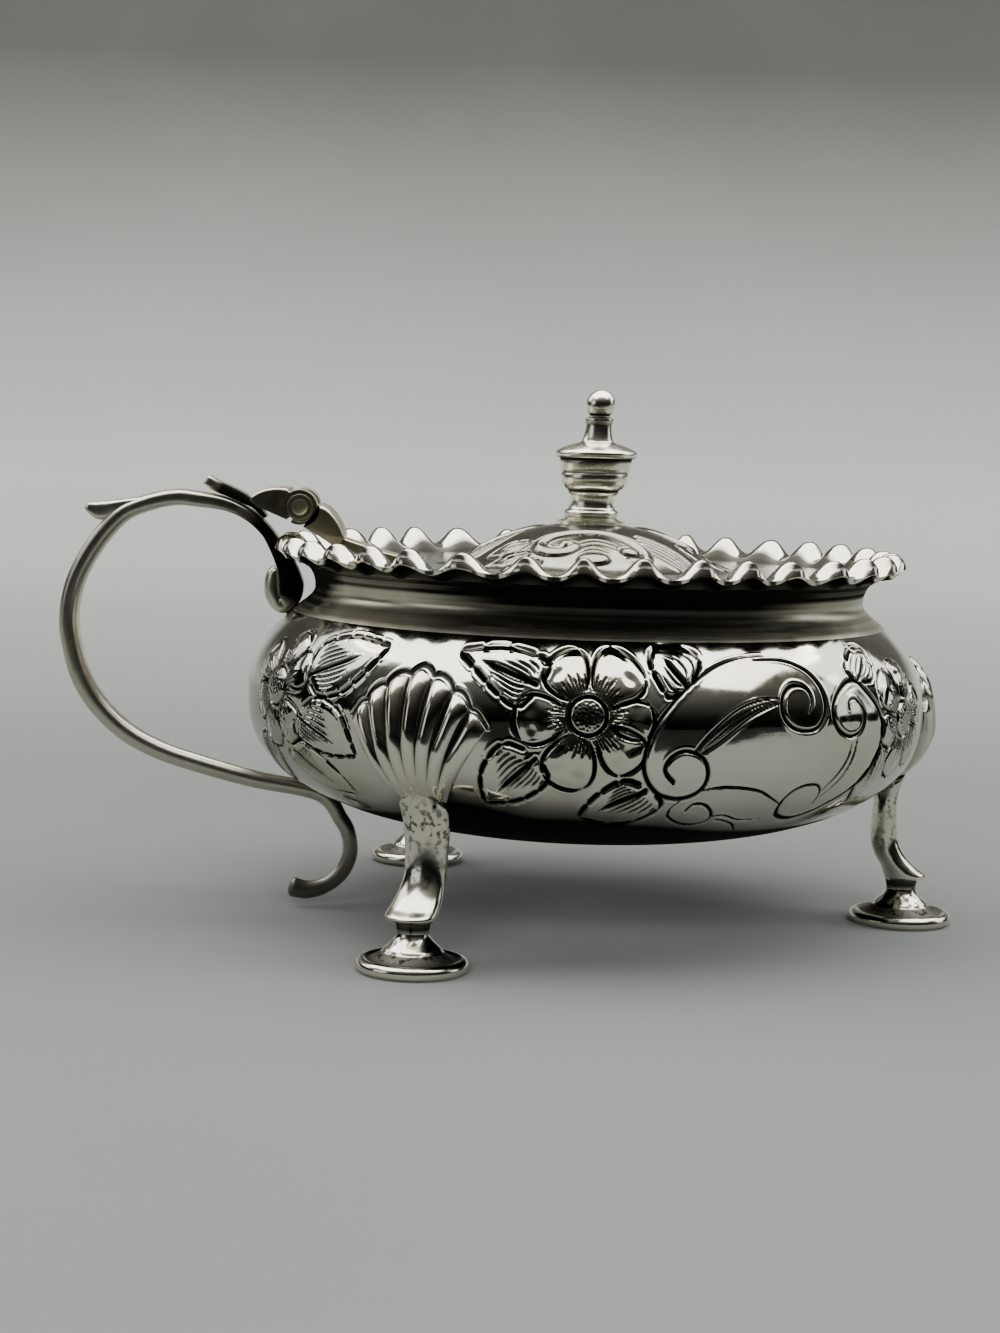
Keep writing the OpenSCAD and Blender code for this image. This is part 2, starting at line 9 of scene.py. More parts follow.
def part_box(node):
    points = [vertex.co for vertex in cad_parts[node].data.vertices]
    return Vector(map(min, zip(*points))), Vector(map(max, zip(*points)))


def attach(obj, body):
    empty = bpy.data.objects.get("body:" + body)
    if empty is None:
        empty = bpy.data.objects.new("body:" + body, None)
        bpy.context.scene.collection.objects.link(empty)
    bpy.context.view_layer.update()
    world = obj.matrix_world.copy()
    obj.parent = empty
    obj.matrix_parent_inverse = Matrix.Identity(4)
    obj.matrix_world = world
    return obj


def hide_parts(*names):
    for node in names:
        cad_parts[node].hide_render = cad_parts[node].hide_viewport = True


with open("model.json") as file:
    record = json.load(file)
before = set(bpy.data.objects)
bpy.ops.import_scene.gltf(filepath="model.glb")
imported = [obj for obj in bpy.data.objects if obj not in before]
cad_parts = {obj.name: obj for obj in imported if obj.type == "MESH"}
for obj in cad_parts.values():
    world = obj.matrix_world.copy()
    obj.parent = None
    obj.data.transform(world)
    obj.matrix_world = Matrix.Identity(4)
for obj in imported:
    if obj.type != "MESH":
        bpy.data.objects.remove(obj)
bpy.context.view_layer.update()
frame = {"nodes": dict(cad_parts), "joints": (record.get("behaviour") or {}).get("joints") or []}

# Silver mustard pot: the chased bowl on its shell-kneed legs, the scroll handle, the hinged
# cover with its urn finial, and the blue glass liner. Sizes are millimetres from the pot's
# own axis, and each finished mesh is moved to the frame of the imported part, in metres.

MM = 0.001
bowl_low, bowl_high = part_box("bowl")
AXIS = np.array([(bowl_low[0] + bowl_high[0]) / 2 / MM, 0, 0])
HINGE_XZ = (np.array(frame["joints"][0]["pos_m"]) / MM - AXIS)[[0, 2]]

# Bowl
BELLY_R = 34.8
BELLY_Z = 23.4
BOTTOM_Z = 9.3
FULLNESS = 2.6
SHOULDER_H = 16.3
NECK_R = 28.2
NECK_Z = 33.7
NECK_BLEND = 2.2
WALL = 0.8
LIP_H = 2.4
LIP_FLARE = 1.2
LIP_R = NECK_R + LIP_FLARE
LIP_Z = NECK_Z + LIP_H
LOWER_H = BELLY_Z - BOTTOM_Z
# Heights at which the chased panels meet the base and the neck
PANEL_LOW_Z = 11.4
PANEL_TOP_Z = 31.3
# Solder between two pieces
FILM = 0.03
# Points up and round a panel, through its inside, and round the neck and the underside
PANEL_ROWS = 230
PANEL_COLUMNS = 331
INSIDE_ROWS = 7
NECK_COLUMNS = 360
BASE_COLUMNS = 240
# Height of the marks that the hammer leaves
HAMMER_H = 0.022

# Chased lines: half widths and depths
BOLD_LINE = 0.36
BOLD_CUT = 0.26
HATCH_LINE = 0.15
HATCH_CUT = 0.12
SCROLL_CUT = 0.22
# Height of the burr beside a cut, as a share of its depth
BURR = 0.2
# Heights of what is raised from behind
LEAF_H = 0.16
PETAL_H = 0.3
BOSS_H = 0.35

# Rim
LOBE_COUNT = 36
LOBE_REACH = 3.3
LOBE_RISE = 2.0
CREASE_IN = 0.8
LOBE_T = 0.6
LOBE_COLUMNS = 26
LOBE_STEPS = 16
# Place of the punched dot, as a share of the way over the lobe
DOT_AT = 0.64

# Cover and finial
COVER_T = 0.8
COVER_R = 27.67
COVER_Z = 35.55
COVER_TOP = COVER_Z + COVER_T
DOME_R = 13.8
DOME_RISE = 4.7
DOME_TOP = COVER_TOP + DOME_RISE
DOME_SPHERE_R = (DOME_R ** 2 + DOME_RISE ** 2) / (2 * DOME_RISE)
# Radii between which the dome is chased, and from which the brim is dull
CHASED_FROM_R = 4.2
CHASED_TO_R = 17.5
BRIM_FROM_R = 16.5
COVER_COLUMNS = 630
STUD_R = 0.9
STUD_HOLE_R = STUD_R + FILM
FINIAL_H = 13.6
FINIAL_CAP_R = 4.2
FINIAL_BALL_R = 1.5
FINIAL_LEAN = 3.0

# Liner
GLASS_T = 1.6
GLASS_R = 26.6
GLASS_TOP = 32.7

# Handle
HANDLE_OUT = 25.3
HANDLE_H = 28.7
HANDLE_LOW_Z = 13.6
STRAP_W = 3.7
ROD_T = 1.6
ROD_SEAT_R = 27.0
TAIL_R = 4.6
BLADE_SIDES = 36

# Hinge
HINGE_W = 9.0
HINGE_GAP = 0.15
COVER_KNUCKLE_L = 3.0
KNUCKLE_R = 1.4
CAP_R = KNUCKLE_R + 0.4
PIN_R = 0.85
KNUCKLE_COLUMNS = 64
TONGUE_W = 5.0
TONGUE_T = 1.0
TONGUE_L = 6.4

# Legs and feet
LEG_ANGLES = {"front": 0, "left": 120, "right": -120}
FOOT_CIRCLE_R = 34.0
PAD_R = 5.3
PAD_T = 1.3
FOOT_H = 4.6
STEM_R = 1.7
FAN_Z = 12.2
SHELL_L = 15.8
SHELL_PROUD = 1.85
SHELL_FILM = 0.09
FLUTE_COUNT = 6
FLUTE_D = 0.9
SHELL_SPREAD = 33
SHELL_MARGIN = 0.14
LEG_HALF_W = 2.1
LEG_IN = FOOT_CIRCLE_R - 3.4
# Places across the shell at which its rays and the leg's rings have points
SHELL_COLUMNS = np.linspace(-1, 1, 141)
# Casting flaw at the base of the shell
PIT_X = 34.5
PIT_Y = 1.6
PIT_Z = 15.8
PIT_D = 0.5

# Camera: its place from the pot's axis, its angles in degrees and its lens
CAMERA_AT = np.array([-16.01, -253.5, 50.09])
CAMERA_YAW = 1.609
CAMERA_PITCH = 5.478
CAMERA_ROLL = 1.817
CAMERA_LENS = 66.25

# Silver: how fine its patterns are, and what uneven polish and oxide add to its roughness
CLOUD_SCALE = 90
SPECK_SCALE = 900
STAIN_SCALE = 1800
HAIR_SCALE = (300, 300, 4000)
UNEVEN_POLISH = 0.07
OXIDE_ROUGHNESS = 0.6

# Tones of the oxide and the painted shade, the stains, the papers and the room as the camera sees it
OXIDE_AND_SHADE = (0.007, 0.0065, 0.006, 1)
STAIN = (0.19, 0.165, 0.13, 1)
# One paper in three tones that paint the fall of light: the floor, the brighter low wall, and painted
# shade at the top
PAPER_ON_FLOOR = (0.163, 0.17, 0.163)
PAPER_ON_WALL = (0.3, 0.307, 0.295)
PAPER_SHADED_AT_TOP = (0.076, 0.075, 0.068)
DARK_PAPER = (0.004, 0.005, 0.004)
ROOM = (0.5, 0.505, 0.49, 1)


# Curves

def smooth_line(points, steps):
    """Line through all the points, by cubics that leave each point along its neighbours' chord."""
    p = np.asarray(points, float)
    i = np.arange(len(p) - 1)
    ends = [p[np.maximum(i - 1, 0)], p[i], p[i + 1], p[np.minimum(i + 2, len(p) - 1)]]
    a, b, c, d = (q[:, None] for q in ends)
    t = (np.arange(steps) / steps).reshape((1, steps) + (1,) * (p.ndim - 1))
    bend = (2 * a - 5 * b + 4 * c - d) * t ** 2 + (3 * b - a - 3 * c + d) * t ** 3
    curve = 0.5 * (2 * b + (c - a) * t + bend)
    return np.concatenate([curve.reshape((-1,) + p.shape[1:]), p[-1:]])


def cubic(a, b, c, d, steps):
    """Cubic from a to d with the handles b and c."""
    a, b, c, d = (np.asarray(q, float)[..., None, :] for q in (a, b, c, d))
    t = np.linspace(0, 1, steps + 1)[:, None]
    s = 1 - t
    return s ** 3 * a + 3 * s ** 2 * t * b + 3 * s * t ** 2 * c + t ** 3 * d


def arc(centre, r, start, end, steps):
    """Arc about a centre between two angles in degrees."""
    a = np.radians(np.linspace(start, end, steps + 1))
    return np.asarray(centre) + r * np.stack([np.cos(a), np.sin(a)], -1)


def heading(line):
    """Direction of a line at each of its points, from its neighbours."""
    step = np.gradient(line, axis=-2)
    return step / np.maximum(np.linalg.norm(step, axis=-1, keepdims=True), 1e-9)


def left_of(ahead):
    """Direction a quarter turn to the left of another, in a plane."""
    return np.stack([-ahead[..., 1], ahead[..., 0]], -1)


def beside(line, offset):
    """A line in a plane moved to its left."""
    return line + offset * left_of(heading(line))


def even_steps(line, count):
    """A line of the same course with its points at equal distances along it."""
    run = np.concatenate([[0], np.cumsum(np.linalg.norm(np.diff(line, axis=0), axis=1))])
    at = np.linspace(0, run[-1], count)
    return np.stack([np.interp(at, run, line[:, k]) for k in range(line.shape[1])], -1)


def bell(x):
    """Smooth hump, 1 in the middle and 0 from a distance of 1 on."""
    return np.cos(np.clip(x, -1, 1) * np.pi / 2) ** 2


# Meshes

def grid_quads(rows, columns, wrap_rows, wrap_columns):
    """Four-sided faces between neighbouring points of a grid, joined round where it wraps."""
    r = np.arange(rows if wrap_rows else rows - 1)
    c = np.arange(columns if wrap_columns else columns - 1)
    r, c = np.meshgrid(r, c, indexing="ij")
    r2, c2 = (r + 1) % rows, (c + 1) % columns
    corners = [r * columns + c, r * columns + c2, r2 * columns + c2, r2 * columns + c]
    return np.stack(corners, -1).reshape(-1, 4)


def signed_volume(p, quads):
    """Volume inside a closed skin of quads, less than nothing when it is inside out."""
    a, b, c, d = (p[quads[:, k]] for k in range(4))
    first = np.einsum("ij,ij->i", a, np.cross(b, c)).sum()
    return (first + np.einsum("ij,ij->i", a, np.cross(c, d)).sum()) / 6


def link_object(name, data):
    """A new object in the scene."""
    item = bpy.data.objects.new(name, data)
    bpy.context.scene.collection.objects.link(item)
    return item


def add_piece(name, points, body, nodes, finish, wrap_rows=False, caps=False, sharp=40, slot="silver",
              **fields):
    """Makes a piece from a grid of points whose columns run round, with its fields of tarnish and painted
    shade, and of stain. Caps close the first and the last row."""
    rows, columns = points.shape[:2]
    flat = points.reshape(-1, 3)
    quads = grid_quads(rows, columns, wrap_rows, True)
    lids = []
    if caps:
        lids = [list(range(columns))[::-1], list(range((rows - 1) * columns, rows * columns))]
    faces = quads.tolist() + lids
    if signed_volume(flat - flat.mean(0), quads) < 0:
        faces = [face[::-1] for face in faces]
    mesh = bpy.data.meshes.new(name)
    mesh.from_pydata(((flat + AXIS) * MM).tolist(), [], faces)
    for key, values in fields.items():
        layer = mesh.attributes.new(key, "FLOAT", "POINT")
        values = np.clip(np.broadcast_to(values, (rows, columns)), 0, 1)
        layer.data.foreach_set("value", values.reshape(-1).astype(np.float32))
    build = bmesh.new()
    build.from_mesh(mesh)
    bmesh.ops.remove_doubles(build, verts=build.verts, dist=1e-7)
    build.to_mesh(mesh)
    build.free()
    mesh.shade_smooth()
    mesh.set_sharp_from_angle(angle=np.radians(sharp))
    mesh.materials.append(finish)
    piece = link_object(name, mesh)
    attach(piece, body)
    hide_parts(*nodes)


def polar(r, turn, z):
    """Points at a radius, at an angle round the pot's axis and at a height."""
    return np.stack(np.broadcast_arrays(r * np.cos(turn), r * np.sin(turn), z), -1)


def turned(profile, columns):
    """Turned form: a profile of radius and height carried round the pot's axis."""
    r, z = np.asarray(profile).T[..., None]
    return polar(r, np.linspace(0, 2 * np.pi, columns, endpoint=False), z)


def about(points, angle):
    """Points turned round the pot's axis by an angle in degrees."""
    c, s = np.cos(np.radians(angle)), np.sin(np.radians(angle))
    return points @ np.array([[c, s, 0], [-s, c, 0], [0, 0, 1]])


def swept(route, widths, thicks, sides, squareness):
    """Rod along a route in the XZ plane: a rounded section, flattened to a width and a thickness."""
    a = np.linspace(0, 2 * np.pi, sides, endpoint=False)
    power = 2 / np.broadcast_to(squareness, len(route))[:, None]
    out = np.sign(np.cos(a)) * np.abs(np.cos(a)) ** power
    across = np.sign(np.sin(a)) * np.abs(np.sin(a)) ** power
    side = left_of(heading(route))
    reach = np.asarray(thicks)[:, None] / 2 * out
    x = route[:, :1] + side[:, :1] * reach
    z = route[:, 1:] + side[:, 1:] * reach
    y = np.asarray(widths)[:, None] / 2 * across
    return np.stack([x, y, z], -1)


# Materials

def shader(name):
    """A new material, its tree and its shader."""
    material = bpy.data.materials.new(name)
    material.use_nodes = True
    tree = material.node_tree
    return material, tree, tree.nodes["Principled BSDF"]


def give(tree, socket, value):
    """Joins a socket to another one, or sets it to a value."""
    if isinstance(value, bpy.types.NodeSocket):
        tree.links.new(value, socket)
    else:
        socket.default_value = value


def add_node(tree, kind, **inputs):
    """A node with some of its inputs set to a value or joined to a socket."""
    node = tree.nodes.new(kind)
    for key, value in inputs.items():
        give(tree, node.inputs[key.replace("_", " ")], value)
    return node


def mix_colours(tree, share, first, second):
    """Colour between two others, by a share."""
    node = tree.nodes.new("ShaderNodeMix")
    node.data_type = "RGBA"
    for place, value in ((0, share), (6, first), (7, second)):
        give(tree, node.inputs[place], value)
    return node.outputs[2]


def mapped(tree, value, low, high, to_low, to_high):
    """A value carried from one range to another, held at its ends."""
    node = add_node(tree, "ShaderNodeMapRange", Value=value, From_Min=low, From_Max=high,
                    To_Min=to_low, To_Max=to_high)
    return node.outputs[0]


def noise(tree, place, scale, detail):
    """Cloudy noise in a place, from 0 to 1."""
    return add_node(tree, "ShaderNodeTexNoise", Vector=place, Scale=scale, Detail=detail).outputs["Fac"]


def field(tree, name):
    """A field of the mesh, from 0 to 1."""
    node = tree.nodes.new("ShaderNodeAttribute")
    node.attribute_name = name
    return node.outputs["Fac"]


def reckon(tree, operation, first, second):
    """Sum or product of two values."""
    node = tree.nodes.new("ShaderNodeMath")
    node.operation = operation
    tree.links.new(first, node.inputs[0])
    tree.links.new(second, node.inputs[1])
    return node.outputs[0]


def silver_finish(name, tone, roughness, stained=False):
    """Polished old silver: uneven tone and polish, fine scratches, and matt black by the
    tarnish-and-shade field, which holds both oxide and painted shade. A stained one also has brown pits
    by the stain field."""
    material, tree, skin = shader(name)
    skin.inputs["Metallic"].default_value = 1
    place = tree.nodes.new("ShaderNodeTexCoord").outputs["Object"]
    cloud = noise(tree, place, CLOUD_SCALE, 3)
    speck = noise(tree, place, SPECK_SCALE, 4)
    stretch = add_node(tree, "ShaderNodeMapping", Vector=place, Scale=HAIR_SCALE)
    hair = noise(tree, stretch.outputs[0], 1, 2)
    tarnish = field(tree, "tarnish")
    dull = tuple(0.9 * v for v in tone[:2]) + (0.8 * tone[2], 1)
    clean = mix_colours(tree, mapped(tree, cloud, 0.45, 0.75, 0, 1), tone + (1,), dull)
    if stained:
        blot = mapped(tree, noise(tree, place, STAIN_SCALE, 6), 0.53, 0.6, 0, 1)
        spots = reckon(tree, "MULTIPLY", blot, field(tree, "stain"))
        clean = mix_colours(tree, spots, clean, STAIN)
    # Darkens towards black by the tarnish-and-shade field: oxide, and painted shade where a piece sets it
    tree.links.new(mix_colours(tree, tarnish, clean, OXIDE_AND_SHADE), skin.inputs["Base Color"])
    polish = mapped(tree, speck, 0.35, 0.75, roughness, roughness + UNEVEN_POLISH)
    rough = reckon(tree, "ADD", mapped(tree, tarnish, 0.5, 1, 0, OXIDE_ROUGHNESS), polish)
    tree.links.new(rough, skin.inputs["Roughness"])
    scratch = add_node(tree, "ShaderNodeBump", Height=hair, Strength=0.006, Distance=0.0003)
    pits = add_node(tree, "ShaderNodeBump", Height=speck, Strength=0.02, Distance=0.0004,
                    Normal=scratch.outputs[0])
    tree.links.new(pits.outputs[0], skin.inputs["Normal"])
    return material


def glass_finish():
    """Clear cobalt glass, a little uneven in colour and smooth on its surface."""
    material, tree, skin = shader("cobalt_glass")
    skin.inputs["Transmission Weight"].default_value = 1
    skin.inputs["IOR"].default_value = 1.5
    place = tree.nodes.new("ShaderNodeTexCoord").outputs["Object"]
    cloud = noise(tree, place, 60, 2)
    colour = mix_colours(tree, cloud, (0.03, 0.07, 0.5, 1), (0.06, 0.12, 0.62, 1))
    tree.links.new(colour, skin.inputs["Base Color"])
    tree.links.new(mapped(tree, cloud, 0.3, 0.7, 0.02, 0.06), skin.inputs["Roughness"])
    return material


def paper_finish(name, floor, wall, top):
    """Matt backdrop paper with a faint mottle, in three tones that paint how the light falls on it: on
    the floor, brighter low on the wall, and in painted shade at its top."""
    material, tree, skin = shader(name)
    place = tree.nodes.new("ShaderNodeTexCoord").outputs["Object"]
    parts = add_node(tree, "ShaderNodeSeparateXYZ", Vector=place).outputs
    behind = mapped(tree, parts["Y"], 0.1, 0.5, 0, 1)
    above = mapped(tree, parts["Z"], 0.03, 0.2, 0, 1)
    mottle = mapped(tree, noise(tree, place, 6, 4), 0.3, 0.7, 0, 0.02)
    paper = mix_colours(tree, behind, floor + (1,), wall + (1,))
    paper = mix_colours(tree, above, paper, top + (1,))
    paper = mix_colours(tree, mottle, paper, (1, 1, 1, 1))
    tree.links.new(paper, skin.inputs["Base Color"])
    skin.inputs["Roughness"].default_value = 0.6
    skin.inputs["Specular IOR Level"].default_value = 0
    return material


RAISED_SILVER = silver_finish("raised_silver", (0.68, 0.67, 0.61), 0.08)
COVER_SILVER = silver_finish("cover_silver", (0.52, 0.51, 0.455), 0.18)
FINIAL_SILVER = silver_finish("finial_silver", (0.93, 0.91, 0.8), 0.22)
NECK_SILVER = silver_finish("neck_silver", (0.8, 0.765, 0.65), 0.3)
CAST_SILVER = silver_finish("cast_silver", (0.74, 0.725, 0.65), 0.15, stained=True)
STRAP_SILVER = silver_finish("strap_silver", (0.72, 0.7, 0.62), 0.3)
HINGE_SILVER = silver_finish("hinge_silver", (0.6, 0.575, 0.47), 0.34)
INNER_SILVER = silver_finish("inner_silver", (0.86, 0.845, 0.8), 0.18)
COBALT_GLASS = glass_finish()


# Bowl outline

def bowl_radius(z):
    """Radius of the bowl at a height: a squarish ellipse below the belly, a plain one above it."""
    low = np.clip((BELLY_Z - z) / LOWER_H, 0, 1)
    high = np.clip((z - BELLY_Z) / SHOULDER_H, 0, 1)
    below = (1 - low ** FULLNESS) ** (1 / FULLNESS)
    return BELLY_R * np.where(z < BELLY_Z, below, np.sqrt(1 - high ** 2))


def bowl_outward(z):
    """Outward direction of the bowl at a height, as radial and up."""
    step = 0.01
    rise = bowl_radius(z + step) - bowl_radius(z - step)
    out = np.stack([np.full_like(rise, 2 * step), -rise], -1)
    return out / np.linalg.norm(out, axis=-1, keepdims=True)


def lower_line(steps):
    """Outline of the lower belly from the middle of the underside to the widest part."""
    a = np.linspace(0, np.pi / 2, steps)
    r = BELLY_R * np.sin(a) ** (2 / FULLNESS)
    return np.stack([r, BELLY_Z - LOWER_H * np.cos(a) ** (2 / FULLNESS)], -1)


# Points of the outline at which the chased panels end
PANEL_LOW = [[bowl_radius(PANEL_LOW_Z), PANEL_LOW_Z]]
PANEL_TOP = [[bowl_radius(PANEL_TOP_Z), PANEL_TOP_Z]]
BLEND_Z = NECK_Z - NECK_BLEND
BLEND_START = np.array([bowl_radius(BLEND_Z), BLEND_Z])
BLEND_OUT = bowl_outward(np.array(BLEND_Z))
shoulder_zs = np.linspace(BELLY_Z, BLEND_Z, 200)[1:]
shoulder_line = np.stack([bowl_radius(shoulder_zs), shoulder_zs], -1)
belly_line = np.concatenate([lower_line(900), shoulder_line])
blend_line = cubic(BLEND_START, BLEND_START + 0.4 * NECK_BLEND * np.array([-BLEND_OUT[1], BLEND_OUT[0]]),
                   [NECK_R, NECK_Z - 0.4 * NECK_BLEND], [NECK_R, NECK_Z], 14)
lip_line = cubic([NECK_R, NECK_Z], [NECK_R, NECK_Z + LIP_H / 2],
                 [NECK_R + 0.4 * LIP_FLARE, NECK_Z + 0.8 * LIP_H], [LIP_R, LIP_Z], 14)


# Chasing

class Chasing:
    """Height, and tarnish and painted shade, worked into a patch, whose points are flat places in
    millimetres.
    """

    def __init__(self, across, up):
        self.place = np.stack([across, up], -1)
        self.raised = np.zeros(across.shape)
        self.sunk = np.zeros(across.shape)
        self.burr = np.zeros(across.shape)
        self.tarnish = np.zeros(across.shape)

    def around(self, line, margin):
        """The points in the box round a line."""
        low, high = line.min(0) - margin, line.max(0) + margin
        return np.all((self.place > low) & (self.place < high), -1)

    def distance(self, here, line):
        """Distance of points from a line, and how far along it the nearest place is, from 0 to 1."""
        p = self.place[here][:, None]
        start, step = line[:-1], np.diff(line, axis=0)
        t = np.clip(((p - start) * step).sum(-1) / np.maximum((step ** 2).sum(-1), 1e-9), 0, 1)
        gap = np.linalg.norm(p - start - t[..., None] * step, axis=-1)
        nearest = gap.argmin(1)
        rows = np.arange(len(gap))
        return gap[rows, nearest], (nearest + t[rows, nearest]) / len(step)

    def cut(self, line, half_width, depth, ends, dark=1.0):
        """Groove along a line with a bell-shaped section, narrowed to a share at its ends, with a
        slight burr."""
        here = self.around(line, 2.2 * half_width)
        if not here.any():
            return
        gap, along = self.distance(here, line)
        taper = np.interp(along, [0, 0.25, 0.75, 1], [ends[0], 1, 1, ends[1]])
        x = gap / (half_width * taper)
        self.sunk[here] = np.maximum(self.sunk[here], depth * taper * bell(x))
        self.burr[here] = np.maximum(self.burr[here], BURR * depth * bell((x - 1.3) / 0.7))
        self.tarnish[here] = np.maximum(self.tarnish[here], dark * np.clip(2.4 * bell(x), 0, 1))

    def ridge(self, line, half_width, rise):
        """Raises a round ridge along a line."""
        here = self.around(line, half_width)
        gap, _ = self.distance(here, line)
        self.raised[here] = np.maximum(self.raised[here], rise * bell(gap / half_width))

    def inside(self, here, outline):
        """Whether points lie inside a closed outline, by the sides that a level line crosses."""
        p = self.place[here]
        a, b = outline, np.roll(outline, -1, 0)
        above = (a[:, 1] > p[:, 1:]) != (b[:, 1] > p[:, 1:])
        rise = np.where(b[:, 1] == a[:, 1], 1e-9, b[:, 1] - a[:, 1])
        at = a[:, 0] + (p[:, 1:] - a[:, 1]) / rise * (b[:, 0] - a[:, 0])
        return (above & (p[:, :1] < at)).sum(1) % 2 == 1

    def puff(self, outline, rise, margin):
        """Raises what lies inside an outline like a cushion, full from a margin inside its edge."""
        here = self.around(outline, 0.1)
        if not here.any():
            return
        gap, _ = self.distance(here, np.concatenate([outline, outline[:1]]))
        full = np.sin(np.clip(gap / margin, 0, 1) * np.pi / 2)
        cushion = np.where(self.inside(here, outline), rise * full, 0)
        self.raised[here] = np.maximum(self.raised[here], cushion)

    def dish(self, centre, along, half_long, half_wide, depth, dark):
        """Sinks a shallow oval, longest along a direction."""
        here = self.around(np.array([centre]), half_long + half_wide)
        if not here.any():
            return
        offset = self.place[here] - centre
        u = offset @ along / half_long
        v = offset @ left_of(along) / half_wide
        sink = bell(np.hypot(u, v))
        self.sunk[here] = np.maximum(self.sunk[here], depth * sink)
        self.tarnish[here] = np.maximum(self.tarnish[here], dark * sink)

    def height(self):
        """What is raised, less what is sunk."""
        return self.raised + self.burr - self.sunk


def unit(v):
    """A direction of length 1."""
    return v / np.linalg.norm(v)


def part_of(line, start, end):
    """The stretch of a line between two shares of its points."""
    at = np.linspace(start, end, 12) * (len(line) - 1)
    return np.stack([np.interp(at, np.arange(len(line)), line[:, k]) for k in range(2)], -1)


def serrate(patch, line, teeth, half_width):
    """Leaf's edge: a row of punched dashes, each thick where it starts and thin where it ends."""
    for i in range(teeth):
        patch.cut(part_of(line, i / teeth, (i + 0.86) / teeth), half_width, BOLD_CUT, ends=(1, 0.4))


def leaf(patch, base, tip, one_side, other_side, teeth=5, hatch=5, weight=1.0):
    """Leaf with punched edges, a tapering midrib, and rows of fine lines beside it, all lighter by a
    weight."""
    base, tip = np.array(base, float), np.array(tip, float)
    first = smooth_line(np.array([base, *one_side, tip]), 8)
    second = smooth_line(np.array([base, *other_side, tip]), 8)
    patch.puff(np.concatenate([first, second[-2:0:-1]]), LEAF_H, 0.9)
    for line in (first, second):
        serrate(patch, part_of(line, 0.12, 1), teeth, BOLD_LINE * weight)
    rib = base + np.outer(np.linspace(0.04, 0.7, 10), tip - base)
    patch.cut(rib, BOLD_LINE * weight, BOLD_CUT, ends=(1, 0.1))
    for line in (first, second):
        for k in range(1, hatch + 1):
            lean = k / (hatch + 1)
            start, end = 0.1 + 0.04 * k, 0.66 - 0.06 * k
            edge = part_of(line, start, end)
            axis = base + np.outer(np.linspace(start, end, len(edge)), tip - base)
            hatching = axis + lean * (edge - axis)
            patch.cut(hatching, HATCH_LINE, HATCH_CUT, ends=(0.8, 0.3), dark=weight)


def flower(patch, centre, petals, boss=1.75, weight=1.0):
    """Flower: a stippled boss in a ring, and petals with broken outlines, dished tips and hatched
    roots. Each petal is its direction in degrees, its reach and its half width. A weight makes the
    lines lighter."""
    centre = np.array(centre, float)
    turn = np.linspace(-np.pi, np.pi, 49)
    dots = 46
    for angle, reach, half_width in petals:
        along = np.array([np.cos(np.radians(angle)), np.sin(np.radians(angle))])
        side = left_of(along)
        middle, half_long = (boss + reach) / 2, (reach - boss) / 2 + 0.3
        run = middle + half_long * np.cos(turn)
        spread = half_width * np.sin(turn) * (0.86 + 0.34 * np.cos(turn))
        outline = centre + np.outer(run, along) + np.outer(spread, side)
        patch.puff(outline[:-1], PETAL_H, 1.3)
        for start, end in ((0.12, 0.37), (0.39, 0.6), (0.62, 0.88)):
            patch.cut(part_of(outline, start, end), 0.27 * weight, BOLD_CUT, ends=(0.45, 0.45))
        for lean in (-1, 1):
            spot = centre + along * (reach - 1.35) + side * lean * 0.42 * half_width
            patch.dish(spot, side, 1.2, 0.9, 0.13, dark=0.12)
        for k in range(-4, 5):
            root = centre + along * (boss + 0.3) + side * 0.14 * k * boss
            length = 2 - 0.14 * abs(k) - 0.5 * (k % 2)
            stroke = root + np.outer(np.linspace(0, length, 6), unit(along + 0.09 * k * side))
            patch.cut(stroke, HATCH_LINE, HATCH_CUT, ends=(1, 0.3), dark=0.95 * weight)
    ring = centre + boss * np.stack([np.cos(turn), np.sin(turn)], -1)
    patch.puff(ring[:-1], BOSS_H, 1.0)
    patch.cut(ring, 0.26 * weight, 0.28, ends=(1, 1))
    for k in range(dots):
        r, a = 0.74 * boss * np.sqrt((k + 0.5) / dots), 2.4 * k
        dot = centre + r * np.array([np.cos(a), np.sin(a)])
        patch.dish(dot, np.array([1, 0]), 0.21, 0.21, 0.1, dark=0.75)


# Places on the belly, as the angle round the pot and the height
DEGREE = np.radians(1) * BELLY_R


def on_belly(*places):
    """Places given by angle and height, as flat millimetres."""
    return np.array([(angle * DEGREE, height) for angle, height in places])


def belly_leaf(patch, base, tip, one_side, other_side, **detail):
    """Leaf whose places are angles and heights."""
    base, tip = on_belly(base, tip)
    leaf(patch, base, tip, on_belly(*one_side), on_belly(*other_side), **detail)


def belly_line_cut(patch, places, half_width, ends=(0.4, 0.4)):
    """Scroll line whose places are angles and heights."""
    patch.cut(smooth_line(on_belly(*places), 7), half_width, SCROLL_CUT, ends=ends)


